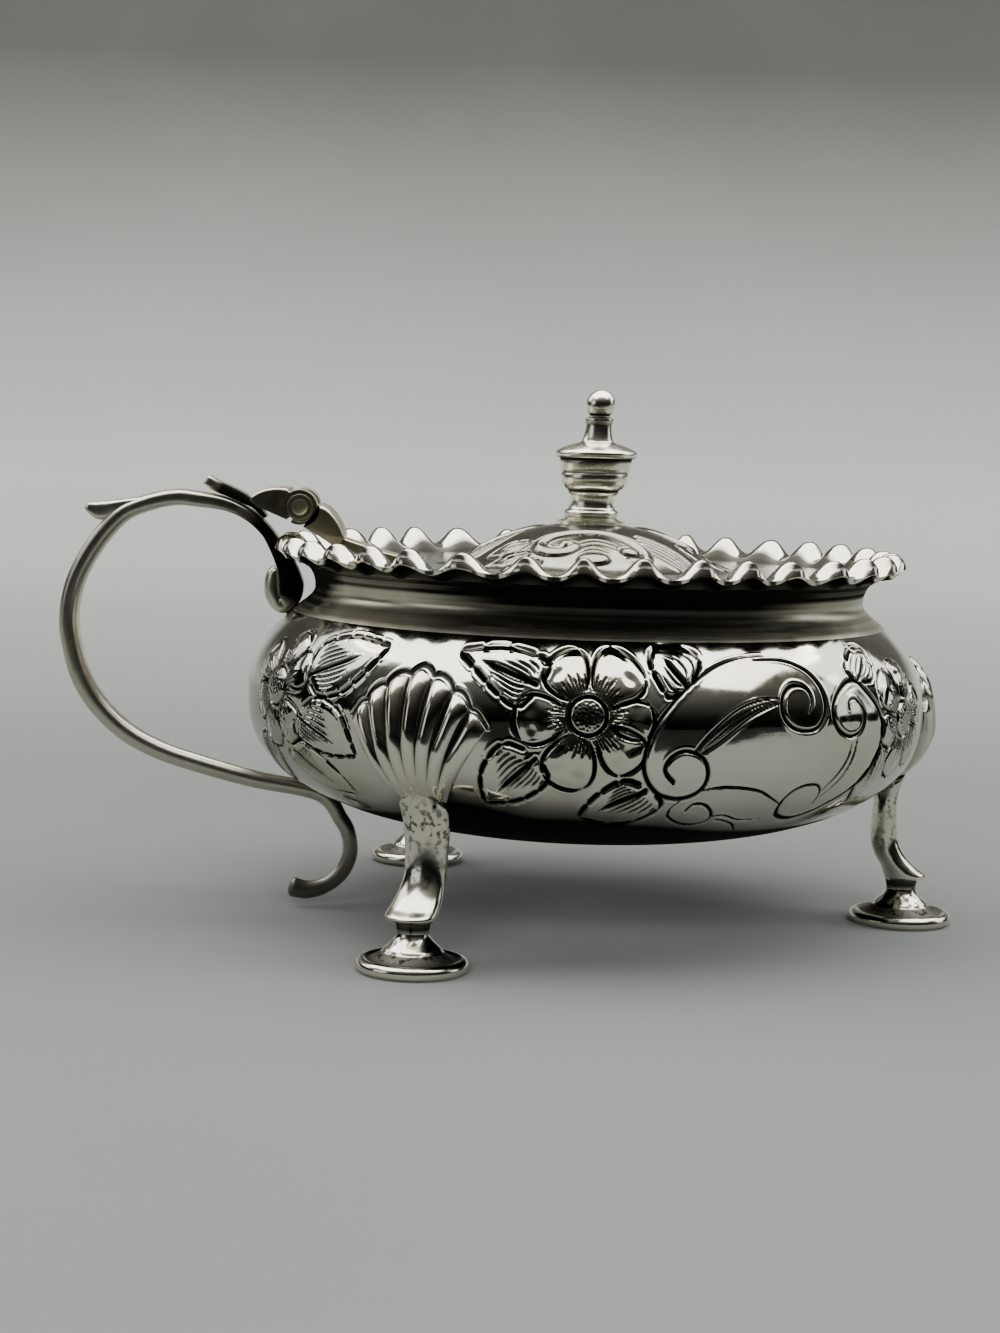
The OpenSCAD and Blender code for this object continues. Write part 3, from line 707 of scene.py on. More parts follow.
def chase_flowers(patch):
    """The flower with its four leaves, the one by the handle with its own four, and the one by the
    front leg."""
    flower(patch, on_belly((-93, 24.8))[0],
           [(120, 5.9, 2.4), (52, 6.3, 2.9), (-4, 5.8, 1.9),
            (-44, 6.3, 2.3), (251, 6.8, 2.7), (186, 6.5, 2.5)])
    belly_leaf(patch, (-100.5, 27.3), (-115, 30), [(-99.5, 29.4), (-107.2, 30.6)],
               [(-103.5, 25.3), (-107.4, 26.6), (-110.7, 28.2)], teeth=5)
    belly_leaf(patch, (-77.5, 27.4), (-82.4, 31.1), [(-74.6, 29.8), (-77.6, 31.1)],
               [(-80.5, 26.6), (-82, 27.8), (-83.2, 29.5)], teeth=3, hatch=2)
    belly_leaf(patch, (-100.3, 20.9), (-109.4, 16), [(-105.5, 22), (-108.7, 19.9), (-109.6, 17.8)],
               [(-98.6, 19), (-101, 17.4), (-104.6, 16.4)], teeth=5)
    belly_leaf(patch, (-83.2, 18.2), (-94, 15), [(-87, 19), (-90.4, 17.8), (-92.6, 16.4)],
               [(-80.6, 16.6), (-84, 14.9), (-89.1, 14.4)], teeth=4)
    flower(patch, on_belly((-153, 24.8))[0],
           [(70, 5.2, 2.0), (25, 5.6, 1.9), (-50, 6.0, 2.2),
            (-102, 5.8, 2.1), (205, 5.2, 2.1), (150, 6.2, 2.1)], boss=1.9, weight=0.7)
    belly_leaf(patch, (-144.2, 26.3), (-128.2, 29.8), [(-144, 29.2), (-137.8, 30.3), (-132.6, 30.2)],
               [(-140.3, 24.6), (-134.8, 25.3), (-130.6, 27.6)], teeth=7, weight=0.8)
    belly_leaf(patch, (-146, 22.4), (-131.6, 19.4), [(-141, 24.4), (-135.7, 23.8), (-133, 21.8)],
               [(-146, 20.4), (-141, 19.4), (-136.4, 19.1)], teeth=7, weight=0.7)
    belly_leaf(patch, (-149, 19.2), (-136, 15.2), [(-145, 20), (-140, 18.8), (-137, 17.2)],
               [(-151, 18), (-148, 16.5), (-143, 15.4)], teeth=4, weight=0.6)
    belly_leaf(patch, (-158, 20), (-163, 14.6), [(-155, 18.5), (-157, 15.8)],
               [(-161.5, 19.4), (-164, 16.8)], teeth=3, weight=0.6)
    flower(patch, on_belly((-30.5, 23.5))[0],
           [(75, 5.4, 2.2), (15, 5.6, 2.2), (-45, 5.6, 2.2),
            (-105, 5.5, 2.2), (195, 4.9, 2.0), (135, 5.4, 2.2)], weight=0.65)


def chase_frame(patch):
    """The scrolled frame: a large C, its hatched crescent, a C facing it, and small scrolls and leaves
    under and beside them."""
    belly_line_cut(patch, [(-79.5, 18.9), (-81, 20), (-80.2, 21.2), (-78, 21.8), (-75.3, 21.2),
                           (-74.1, 19.8), (-74.4, 18.4), (-76, 17.5), (-78.6, 17.2), (-81.5, 17.7),
                           (-83.4, 18.8), (-84.3, 20.3), (-84, 22.1), (-82.7, 24.1), (-80.1, 26.1),
                           (-76.8, 27.8), (-72.4, 29.3), (-67.9, 30), (-62.8, 30.2)],
                   0.3, ends=(1, 0.3))
    belly_line_cut(patch, [(-65, 29.8), (-59.2, 29.7), (-55.4, 28.9), (-53.5, 27.6), (-52.9, 26.1),
                           (-53.4, 24.8), (-55.1, 23.6), (-57.7, 23.4), (-60.2, 23.9), (-61.7, 25.1),
                           (-61.2, 26.6), (-59.3, 27.5), (-57.1, 27.5), (-55.9, 26.9), (-55.8, 25.9),
                           (-56.7, 25)], 0.3, ends=(0.3, 0.4))
    top = on_belly((-76.5, 21.8), (-74.3, 23.4), (-70.6, 25.2), (-66.6, 26.2), (-62.1, 26.5))
    low = on_belly((-75.3, 21.6), (-72.8, 22.6), (-68.8, 24.4), (-65.5, 25.4), (-62, 26))
    for share in np.linspace(0, 1, 5):
        half_width, depth, dark = (0.2, 0.16, 1) if share in (0, 1) else (0.12, 0.09, 0.7)
        line = smooth_line(top + share * (low - top), 8)
        patch.cut(line, half_width, depth, ends=(1, 0.3), dark=dark)
    belly_line_cut(patch, [(-47.7, 25.1), (-47.4, 25.8), (-45.8, 26.1), (-44.2, 25.3), (-43.8, 24.1),
                           (-45, 22.9), (-47.8, 22.6), (-50.6, 23.5), (-51.5, 25.1), (-49.9, 26.5),
                           (-47, 27.5), (-44.2, 27.7), (-42.1, 26.8), (-39.9, 25.3), (-38.6, 23.5),
                           (-38.8, 21.8), (-40, 20), (-41.6, 18.4), (-44.2, 16.8), (-46.9, 15.8),
                           (-48.9, 15), (-52.7, 14.4), (-57.3, 15), (-58.6, 16.3), (-57.6, 17.5),
                           (-55.2, 18.1), (-52.6, 18), (-51.1, 17.2), (-50.8, 16)], 0.3)
    belly_line_cut(patch, [(-46.9, 21.8), (-47.5, 20.4), (-49, 18.8), (-50.9, 17.4)], 0.16)
    belly_line_cut(patch, [(-45.6, 22.3), (-46.2, 20.5), (-47.6, 18.5), (-50.3, 16.7)], 0.16)
    belly_line_cut(patch, [(-74.7, 18), (-71.7, 18.3), (-68.1, 18.2), (-64.5, 17.8), (-61.8, 17.1),
                           (-58.6, 16.2)], 0.18)
    belly_line_cut(patch, [(-76.1, 15.9), (-75.2, 16.6), (-73.2, 16.5), (-71.3, 15.6), (-71.2, 14.8),
                           (-73.5, 14.3), (-76.4, 14.5), (-78.8, 15.3), (-78.8, 16.3), (-77.1, 17.3)],
                   0.2, ends=(1, 0.3))
    belly_line_cut(patch, [(-70.9, 15.3), (-68.6, 15.3), (-64.9, 14.7), (-60.5, 14.7)], 0.15)
    belly_line_cut(patch, [(-70.4, 14.8), (-68.8, 14.8), (-65.4, 14.2), (-63.1, 13.4)], 0.15)
    belly_leaf(patch, (-43.4, 27.6), (-36.2, 30.5), [(-45.6, 28.6), (-42.5, 30), (-39.2, 30.6)],
               [(-38.8, 27.6), (-36.8, 29)], teeth=3, hatch=2, weight=0.7)
    belly_leaf(patch, (-39, 21.4), (-40.5, 15.6), [(-36, 20.6), (-37.4, 17.6)],
               [(-40.6, 19.6), (-42.6, 17.4)], teeth=3, hatch=2, weight=0.7)


def shade_round_shells(patch):
    """Groove on the belly round the shells of the legs, darkened as a painted contact shadow."""
    # Painted contact shadow, cut along the edge of each shell
    seam = np.stack(shell_ray(np.linspace(-1, 1, 61), 1.03), -1)
    for angle in (-120, 0):
        patch.cut(seam + on_belly((angle, 0)), 0.3, 0.2, ends=(0.6, 0.6), dark=0.9)


def hammer_marks(across, up):
    """Slight waves that planishing leaves in raised sheet: crossed sines of several lengths, in
    millimetres."""
    waves = [(0.31, 0.17, 0.4), (-0.23, 0.36, 1.7), (0.52, -0.41, 2.9),
             (0.12, 0.63, 4.1), (-0.71, 0.22, 5.3)]
    return HAMMER_H * sum(np.sin(a * across + b * up + c) for a, b, c in waves)


def belly_panel(name, start, end):
    """A sixth of the belly: the outline turned through an angle, with the chasing and planishing on its
    outside. It has painted shade underneath, for the shadowed floor that it reflects, deepest by the near
    leg, and it is dull by the handle."""
    span = belly_line[(belly_line[:, 1] > PANEL_LOW_Z) & (belly_line[:, 1] < PANEL_TOP_Z)]
    span = np.concatenate([PANEL_LOW, span, PANEL_TOP])
    outside = even_steps(span, PANEL_ROWS)
    inside = even_steps(beside(span, WALL), INSIDE_ROWS)[::-1]
    angle = np.linspace(start, end, PANEL_COLUMNS)
    mirrored = -np.abs((angle + 180) % 360 - 180)
    across, up = np.meshgrid(mirrored * DEGREE, outside[:, 1], indexing="ij")
    patch = Chasing(across, up)
    chase_flowers(patch)
    chase_frame(patch)
    shade_round_shells(patch)
    round_the_pot = np.meshgrid(np.radians(angle) * BELLY_R, outside[:, 1], indexing="ij")
    fade = np.clip((up - PANEL_LOW_Z) / 2, 0, 1) * np.clip((PANEL_TOP_Z - up) / 1.5, 0, 1)
    rise = patch.height() * fade + hammer_marks(*round_the_pot) * fade
    out = bowl_outward(outside[:, 1])
    r = outside[:, 0] + rise * out[:, 0]
    z = outside[:, 1] + rise * out[:, 1]
    r = np.concatenate([r, np.tile(inside[:, 0], (len(angle), 1))], 1)
    z = np.concatenate([z, np.tile(inside[:, 1], (len(angle), 1))], 1)
    points = polar(r, np.radians(angle)[:, None], z)
    # How far up the painted shade of the underside reaches: further at the side, and furthest by the leg
    shaded = 2.9 + 3.6 * bell((mirrored + 100) / 50) + 3 * bell((mirrored + 116) / 16)
    under = np.clip(1.9 * bell((up - PANEL_LOW_Z) / shaded[:, None]), 0, 1)
    by_handle = 0.45 * np.interp(mirrored, [-158, -136], [1, 0])
    tarnish = np.max(np.broadcast_arrays(patch.tarnish * fade, under, by_handle[:, None]), 0)
    tarnish = np.concatenate([tarnish, np.zeros((len(angle), len(inside)))], 1)
    add_piece(name, points, "pot", ["bowl"], RAISED_SILVER, caps=True, sharp=60, tarnish=tarnish)


def make_bowl():
    """The six chased panels, the neck with its lip, and the dish of the underside."""
    for k, name in enumerate(("front_right", "right", "back_right", "back_left", "left", "front_left")):
        belly_panel("belly_" + name, -60 * k - 60, -60 * k)
    outside = np.concatenate([PANEL_TOP, blend_line, lip_line[1:]])
    inside = beside(outside, WALL)
    inside[-1] = [LIP_R - WALL, LIP_Z]
    inside[:, 1] = np.minimum(inside[:, 1], LIP_Z)
    ring = turned(np.concatenate([outside, inside[::-1]]), NECK_COLUMNS)
    a = np.linspace(0, 2 * np.pi, NECK_COLUMNS, endpoint=False)
    z = outside[:, 1:]
    streaks = 0.14 * np.sin(8 * z + 2 * np.sin(a)) + 0.08 * np.sin(23 * z + np.sin(3 * a))
    # Painted shade on the lip under the lobed border
    lip = np.clip((z - NECK_Z - 0.4) / 0.6, 0, 1)
    # Painted reflection by the angle from the handle: the strap's dark reflection and shade beside the
    # handle, and the dim room reflected on the front and the back of the neck
    from_handle = np.degrees(np.abs(a - np.pi))
    sides = np.interp(from_handle, [0, 18, 30, 48, 74, 118, 140],
                      [0.9, 0.9, 0, 0, 0.66, 0.66, 0.2])
    neck_reflection_and_shade = 0.06 + 0.6 * lip + sides
    dull = np.clip((z - PANEL_TOP_Z) / 0.5, 0, 1) * np.clip(neck_reflection_and_shade + streaks, 0, 0.95)
    tarnish = np.concatenate([dull, np.full(dull.shape, 0.2)])
    add_piece("neck_and_lip", ring, "pot", ["bowl"], NECK_SILVER, wrap_rows=True, tarnish=tarnish)
    dish = belly_line[belly_line[:, 1] < PANEL_LOW_Z]
    dish = even_steps(np.concatenate([dish, PANEL_LOW]), 40)
    inner = beside(dish, WALL)
    inner[0] = [0, BOTTOM_Z + WALL]
    base = turned(np.concatenate([dish, inner[::-1]]), BASE_COLUMNS)
    # Painted shade: the outside of the underside dish is black, the inside a plain tone
    dull = np.repeat([1, 0.2], (len(dish), len(inner)))
    add_piece("base_dish", base, "pot", ["bowl"], RAISED_SILVER, tarnish=dull[:, None])


# Rim

def make_rim():
    """Lobed border: the lip's section rises and turns over at a lobe, and runs low at a crease. Each
    lobe has a punched dot on its crest. The lobes are a little uneven in width and height, as cast and
    filed ones are."""
    a = np.linspace(0, 2 * np.pi, LOBE_COUNT * LOBE_COLUMNS, endpoint=False)
    uneven = 0.09 * np.sin(5 * (a - np.pi)) + 0.05 * np.sin(11 * (a - np.pi))
    phase = ((np.pi - a) * LOBE_COUNT / (2 * np.pi) + uneven) % 1
    w = np.sin(np.pi * phase) ** 2.2 * (0.96 + 0.04 * np.cos(7 * (a - np.pi)))
    mid_r = LIP_R - WALL / 2
    base_z = LIP_Z + FILM
    # Ends and handles of the section at a lobe and at a crease, as shares of the reach and the rise
    lobe = [[0, 0], [0.18, 0.95], [0.7, 2], [1, 0.68]]
    crease = [[0, 0], [0.1, 0.2], [0.4, 0.36], [1 - CREASE_IN / LOBE_REACH, 0.36]]
    size = np.array([LOBE_REACH, LOBE_RISE])
    keys = [np.outer(1 - w, size * low) + np.outer(w, size * high) + [mid_r, base_z]
            for low, high in zip(crease, lobe)]
    mid = cubic(*keys, LOBE_STEPS)
    side = left_of(heading(mid))
    side[:, 0] = [-1, 0]
    along = np.linspace(0, 1, LOBE_STEPS + 1)
    half = (WALL + (LOBE_T - WALL) * along) / 2 * np.clip((1 - along) / 0.08 + 0.45, 0, 1) ** 0.5
    over, centre = along[None, :], phase[:, None] - 0.5
    hollow = 0.1 * bell((over - DOT_AT) / 0.12) * bell(centre / 0.1)
    outer = mid - half[:, None] * side
    inner = mid + (half - hollow)[..., None] * side
    loop = np.concatenate([outer, inner[:, ::-1]], 1)
    dot = 0.9 * bell((over - DOT_AT) / 0.08) * bell(centre / 0.07)
    # Painted shade under the lobes, in the creases between them and at their roots, and a dark patch on
    # the outer face of each lobe
    gap = bell((np.abs(centre) - 0.5) / 0.1) * np.clip(over * 2, 0, 1)
    under = np.broadcast_to(np.interp(over, [0, 0.2, 0.9, 1], [0.8, 0.97, 0.97, 0]), gap.shape)
    root = 0.8 * np.clip((0.34 - over) / 0.14, 0, 1)
    face = np.clip(1.7 * bell((over - 0.86) / 0.12) * bell(centre / 0.2), 0, 0.95)
    upper = np.max(np.broadcast_arrays(dot + face, root, 0.85 * gap), 0)
    tarnish = np.concatenate([under, upper[:, ::-1]], 1)
    points = polar(loop[..., 0], a[:, None], loop[..., 1])
    add_piece("lobed_border", points, "pot", ["rim_border"], CAST_SILVER, wrap_rows=True, sharp=50,
              tarnish=tarnish)


# Legs and feet

def flute_ridge(across):
    """1 on the ridges between the flutes and on the plain margins at both sides, and 0 in the flutes."""
    u = np.clip(across / (1 - SHELL_MARGIN), -1, 1)
    return np.sqrt(np.abs(np.cos(np.pi * FLUTE_COUNT * (u + 1) / 2)))


def shell_ray(across, s):
    """Flat place in the shell's fan, sideways and up, on one of its rays at a share of the ray."""
    ray = SHELL_L * (1 - 0.18 * np.abs(across) ** 1.2) * (0.955 + 0.045 * flute_ridge(across)) * s
    a = np.radians(SHELL_SPREAD * across)
    return ray * np.sin(a), FAN_Z + ray * np.cos(a)


def shell_point(across, s, proud):
    """Point of the shell on a ray of its fan, at a share of the ray, standing proud of the belly."""
    sideways, z = shell_ray(across, s)
    out = bowl_outward(z)
    r = bowl_radius(z) + proud * out[..., 0]
    return polar(r, sideways / BELLY_R, z + proud * out[..., 1])


def leg_ring(inner, outer, half_w, share, arch=0):
    """Section of the leg between an inner and an outer radius at a share of its height: two bowed lines
    back to back, arched up in the middle to meet the shell. It keeps clear of the bowl."""
    leg_low, leg_top = FOOT_H + FILM, FAN_Z + 2.9
    a = np.concatenate([np.pi / 2 * SHELL_COLUMNS, -np.pi / 2 * SHELL_COLUMNS])
    side = np.repeat([1, -1], len(SHELL_COLUMNS))
    z = leg_low + (leg_top - leg_low) * share + arch * np.cos(a)
    clear = np.maximum(LEG_IN + inner, bowl_radius(z) + SHELL_FILM)
    back = np.where(z > BOTTOM_Z + WALL, clear, LEG_IN + inner)
    mid = (back + LEG_IN + outer) / 2
    bulge = side * (mid - back) * np.abs(np.cos(a)) ** 0.85
    width = LEG_HALF_W * half_w * np.where(side > 0, 1, 0.995)
    return np.stack([mid + bulge, width * np.sin(a), z], -1)


def make_legs():
    """Cast legs: rings of the fluted shell, then rings of the leg, with a smooth skin through them all.
    The flutes are dark, and the casting has a pit."""
    # Shares of the shell's rays at which its rings lie, closest at the rounded top
    s = np.array([1, 0.985, 0.96, 0.92, 0.87, 0.8, 0.72, 0.63, 0.54, 0.45, 0.38, 0.33])[:, None]
    across = SHELL_COLUMNS[None, :]
    flute = flute_ridge(across)
    reach = np.clip(2.2 * s - 0.82, 0, 1)
    depth = FLUTE_D * (1 - flute) ** 0.8 * reach
    full = SHELL_PROUD * (1 - 0.6 * (np.maximum(0, s - 0.45) / 0.55) ** 1.5) * (1 - 0.55 * across ** 6)
    full = full * np.clip(0.55 + 1.5 * (s - 0.33), 0, 1)
    top = np.sqrt(np.clip(1 - (np.maximum(0, s - 0.88) / 0.125) ** 2, 0.03, 1))
    rise = SHELL_FILM + (full - depth) * top
    front = shell_point(across, s, rise)
    back = shell_point(across, s, np.full_like(rise, SHELL_FILM))
    shell = np.concatenate([front, back[:, ::-1]], 1)
    # Each ring is its inner and outer radius, its half width, its share of the height and its arch
    rings = [(0.6, 3.2, 1.2, 1, 1), (0.4, 2.7, 1.16, 0.88, 0.4), (0.2, 2.5, 1.12, 0.76),
             (0, 2.6, 1.02, 0.53), (0.05, 2.95, 1, 0.37), (0.5, 3.7, 1.07, 0.24),
             (1.2, 4.8, 1.17, 0.13), (1.5, 5.9, 1.2, 0.055), (1.6, 5.6, 1.1, 0.02),
             (1.7, 5.1, 0.82, 0)]
    leg = np.stack([leg_ring(*ring) for ring in rings])
    points = smooth_line(np.concatenate([shell, leg]), 8)
    dark = np.clip(1.3 * (1 - flute) ** (1.7 - 0.6 * s) * np.clip(2.6 * s - 0.95, 0, 1), 0, 1)
    keys = np.zeros((len(shell) + len(leg), shell.shape[1]))
    keys[:len(s), :len(SHELL_COLUMNS)] = dark
    tarnish = np.clip(smooth_line(keys[..., None], 8)[..., 0], 0, 1)
    height = points[..., 2]
    stain = bell((height - 13.5) / 4) + 0.7 * bell((height - 9) / 2.5)
    pit = bell(np.linalg.norm((points - [PIT_X, PIT_Y, PIT_Z]) / [2, 0.65, 1], axis=-1))
    points[..., 0] -= PIT_D * pit
    tarnish = np.maximum(tarnish, 0.85 * np.clip(1.5 * pit, 0, 1))
    for side, angle in LEG_ANGLES.items():
        add_piece(side + "_shell_leg", about(points, angle), "pot", [side + "_leg"], CAST_SILVER,
                  caps=True, sharp=55, tarnish=tarnish, stain=stain)


def make_feet():
    """Turned pad feet: a stem that flares to a cone, on a sloped pad with a round edge."""
    cone_r, cone_z, neck_r = 1.65 * STEM_R, 1.65 * PAD_T, STEM_R - 0.2
    dish_r, dish_z = PAD_R - 0.85 * PAD_T, 0.9 * PAD_T
    profile = np.concatenate([
        [[0, 0], [0.5 * PAD_R, 0]],
        arc([PAD_R - PAD_T / 2, PAD_T / 2], PAD_T / 2, -90, 100, 16),
        cubic([dish_r, dish_z], [dish_r - 0.3, dish_z - 0.1], [cone_r + 0.5, cone_z - 0.6],
              [cone_r, cone_z - 0.15], 8),
        cubic([cone_r - 0.05, cone_z], [cone_r - 0.6, cone_z + 0.5], [neck_r + 0.1, cone_z + 0.9],
              [neck_r, FOOT_H - 0.9], 14),
        [[neck_r + 0.05, FOOT_H - 0.5], [STEM_R - 0.05, FOOT_H], [0, FOOT_H]]])
    points = turned(profile, 120)
    r, z = profile.T
    in_dish = (r < dish_r + 0.1) & (r > cone_r + 0.05) & (z > PAD_T / 2)
    # Painted shadow at the top of the stem under the toe, and a darkened dish on the pad
    tarnish = np.where(in_dish, 0.8, 0) + 0.97 * bell((z - FOOT_H + 0.3) / 1.1)
    stain = z > PAD_T
    for side, angle in LEG_ANGLES.items():
        foot = about(points + np.array([FOOT_CIRCLE_R, 0, 0]), angle)
        add_piece(side + "_pad_foot", foot, "pot", [side + "_foot"], CAST_SILVER, sharp=50,
                  tarnish=tarnish[:, None], stain=stain[:, None])


# Handle

def loop_at(u, v):
    """Point of the finger loop, as shares of the handle's reach and height."""
    return np.array([-NECK_R - u * HANDLE_OUT, HANDLE_LOW_Z + v * HANDLE_H])


def make_handle():
    """Strap and rod handle: a rounded section swept along the curl beside the neck, the strap up past
    the hinge, the finger loop, the rod under the belly and the curled tail, with the spur at the back
    of the loop."""
    rod_z = BELLY_Z - LOWER_H * (1 - (ROD_SEAT_R / BELLY_R) ** FULLNESS) ** (1 / FULLNESS)
    rod_out = bowl_outward(np.array(rod_z))
    rod_seat = np.array([-ROD_SEAT_R, rod_z]) + (ROD_T / 2 + FILM) * np.array([-rod_out[0], rod_out[1]])
    tail_mid = rod_seat + [-1.2, -1 - TAIL_R]
    # Keys of the route: places, and for the loop shares of the handle's reach and height
    curl = [[-32.1, 35], [-32.4, 34.7], [-32.5, 34], [-32.5, 33.2], [-32.3, 32.5], [-31.9, 31.9],
            [-31.3, 31.7]]
    strap = [[-30.8, 32.5], [-30.7, 33.7], [-31.1, 35.2], [-31.8, 36.6], [-32.4, 37.7], [-33.25, 39],
             [-34.6, 40.3], [-36.2, 41.25], [-38, 41.85]]
    loop = [(0.478, 0.995), (0.573, 1), (0.69, 0.976), (0.795, 0.93), (0.9, 0.82), (0.975, 0.69),
            (1, 0.56), (0.98, 0.44), (0.94, 0.335), (0.87, 0.24), (0.76, 0.15), (0.62, 0.085),
            (0.46, 0.04), (0.24, -0.01)]
    keys = np.concatenate([curl, strap, [loop_at(u, v) for u, v in loop], [rod_seat],
                           arc(tail_mid, TAIL_R, 40, -112, 6)])
    route = smooth_line(keys, 12)
    share = np.linspace(0, 1, len(route))
    strap_widths = STRAP_W * np.array([0.62, 0.7, 0.95, 1.05, 1, 0.65])
    rod_widths = ROD_T * np.array([1, 1, 1.35])
    widths = np.interp(share, [0, 0.13, 0.19, 0.4, 0.64, 0.76, 0.82, 0.95, 1],
                       np.concatenate([strap_widths, rod_widths]))
    # Thickness at the keys of the route, counted from the curl
    at = [0, 2, 4, 6, 8, 10, 12, 14, 16, 20, 24, 28, 31, len(keys) - 3, len(keys) - 1]
    thick = [1.4, 2, 2.1, 2, 2.6, 1.6, 1.2, 1.25, 1.6, 1.9, 2.1, 1.9, 1.6, 1.6, 2.2]
    thicks = np.interp(share * (len(keys) - 1), at, thick)
    ends = np.clip(np.minimum(share / 0.006, (1 - share) / 0.01), 0, 1)
    rounding = np.sqrt(np.clip(1 - (1 - ends) ** 2, 0.02, 1))
    square = np.interp(share, [0, 0.13, 0.19, 0.4, 0.5, 0.7, 0.8, 1],
                       [2, 2, 5, 5, 2.8, 2.6, 2.1, 2])
    sides = 40
    points = swept(route, widths * rounding, thicks * rounding, sides, square)
    # Painted shade on the strap's flat sides, darkest where it rises beside the neck to the hinge
    dark = np.interp(share, [0, 0.15, 0.19, 0.34, 0.42, 1], [0, 0.1, 0.95, 0.95, 0.2, 0.2])
    rod = np.interp(share, [0.8, 0.87, 0.95], [0, 0.3, 0.5])
    add_piece("handle_strap", points, "pot", ["handle_scroll"], STRAP_SILVER, caps=True, sharp=60,
              tarnish=dark[:, None] * cheeks(sides) + rod[:, None])
    spur = [(0.6, 1.012), (0.7, 1), (0.78, 0.99), (0.86, 0.98), (0.94, 0.974)]
    points = blade([loop_at(u, v) for u, v in spur], 0.95 * STRAP_W,
                   [0, 0.5, 0.75, 0.83, 0.91, 0.96, 1], [0.6, 1.2, 2, 1.9, 1.3, 0.9, 0.6])
    add_piece("handle_spur", points, "pot", ["handle_scroll"], STRAP_SILVER, caps=True)


def cheeks(sides):
    """1 on both flat sides of a swept rod and 0 on its inner and outer edges."""
    return np.clip((np.abs(np.sin(np.linspace(0, 2 * np.pi, sides, endpoint=False))) - 0.4) / 0.3, 0, 1)


def blade(keys, width, places, thicks):
    """Leaf along its upper edge, from a full root to a narrower tip with a blunt end, as thick as given
    at shares of its length."""
    edge = smooth_line(np.array(keys), 12)
    share = np.linspace(0, 1, len(edge))
    thick = np.interp(share, places, thicks)
    ends = np.clip((1 - share) / 0.05, 0, 1)
    rounding = np.sqrt(np.clip(1 - (1 - ends) ** 2, 0.1, 1))
    middle = beside(edge, thick[:, None] / 2)
    return swept(middle, width * (1 - 0.45 * share ** 2) * rounding, thick * rounding, BLADE_SIDES, 4)


def make_thumb_leaf():
    """Leaf laid on the outside of the strap, with its free tip by the thumb."""
    keys = [(-3.5, -1.1), (-4.6, 0.3), (-5.8, 1.2), (-7.3, 1.9), (-8.5, 2.4), (-9.65, 2.98)]
    points = blade(HINGE_XZ + np.array(keys), STRAP_W, [0, 0.35, 0.7, 1], [0.4, 1.1, 1.25, 1.2])
    # Painted shadow on the sides of the leaf, darkest at its root over the strap and fading to its tip
    dark = np.interp(np.linspace(0, 1, len(points)), [0.7, 0.85, 1], [0.95, 0.6, 0.1])
    add_piece("thumb_rest_leaf", points, "pot", ["thumb_leaf"], STRAP_SILVER, caps=True,
              tarnish=dark[:, None] * cheeks(BLADE_SIDES))


# Cover

def dome_height(r):
    """Height of the dome at a radius, on a sphere."""
    return DOME_TOP - DOME_SPHERE_R + np.sqrt(DOME_SPHERE_R ** 2 - r ** 2)


def cover_line():
    """Upper outline of the cover from the stud's hole to its edge."""
    arc_r, foot_r, blend = 0.86 * DOME_R, 1.22 * DOME_R, 0.15 * DOME_R
    slope = arc_r / (dome_height(arc_r) - DOME_TOP + DOME_SPHERE_R)
    r = np.linspace(STUD_HOLE_R, arc_r, 60)
    crown = np.stack([r, dome_height(r)], -1)
    sweep = cubic(crown[-1], crown[-1] + [blend, -blend * slope], [foot_r - blend, COVER_TOP],
                  [foot_r, COVER_TOP], 30)
    return np.concatenate([crown, sweep[1:], [[COVER_R, COVER_TOP]]])


def chase_dome(patch):
    """Three times round the dome: a C-scroll over an eye-shaped boss, an oval at its end, leaves on one
    side and a plume on the other. The places are across and out from the middle of each third."""
    turn = np.linspace(0, 2 * np.pi, 33)
    ring = np.stack([np.cos(turn), np.sin(turn)], -1)
    for angle in (-90, 30, 150):
        c, s = np.cos(np.radians(angle)), np.sin(np.radians(angle))
        frame_of_third = np.array([[-s, c], [c, s]])
        def at(*places):
            """Places in this third, as flat millimetres."""
            return np.array(places, float) @ frame_of_third
        scroll = smooth_line(at((-3, 8.6), (-2.2, 9.3), (-3.3, 10.1), (-5, 9.4), (-5.6, 7.9), (-4.3, 6.6),
                                (-1.5, 6.1), (1.2, 6.4), (3.3, 7.6), (4.9, 9.4), (4.8, 10.9),
                                (3.5, 11.4)), 8)
        patch.ridge(scroll, 0.75, BOSS_H)
        for side in (-0.7, 0.7):
            patch.cut(beside(scroll, side), 0.2, 0.18, ends=(0.6, 0.4))
        for arch in (((-1.9, 8.8), (0, 8.1), (2.4, 9.1)), ((-1.8, 9.6), (0, 8.9), (2.1, 9.8)),
                     ((-1.7, 10.6), (-0.3, 9.8), (1.3, 10.5))):
            patch.cut(smooth_line(at(*arch), 8), 0.22, 0.18, ends=(0.5, 0.3))
        for middle, half_long, half_wide in (((-0.3, 11.6), 1.6, 1.0), ((3.4, 9.9), 0.9, 0.75)):
            oval = at(*(np.array(middle) + ring * [half_long, half_wide]))
            patch.puff(oval[:-1], BOSS_H, 0.9)
            patch.cut(oval, 0.24, 0.22, ends=(1, 1))
        for base, tip, one, other in (((-6, 6.9), (-10.8, 6.4), (-8.2, 5.2), (-8.6, 8.1)),
                                      ((-6.1, 8.9), (-11, 9.2), (-8.6, 7.9), (-8.4, 10.6)),
                                      ((-5.2, 10.9), (-9.4, 12.4), (-7.8, 10.3), (-6.6, 12.6))):
            leaf(patch, at(base)[0], at(tip)[0], at(one), at(other), teeth=3, hatch=2, weight=0.6)
        for k in range(6):
            plume = smooth_line(at((4.2 + 0.3 * k, 5.8 + 0.75 * k), (7.6 + 0.1 * k, 6.6 + 0.8 * k),
                                   (10.4 - 0.3 * k, 8.8 + 0.8 * k)), 8)
            patch.ridge(plume, 0.4, 0.1)
            patch.cut(beside(plume, 0.38), 0.16, 0.14, ends=(0.8, 0.3))


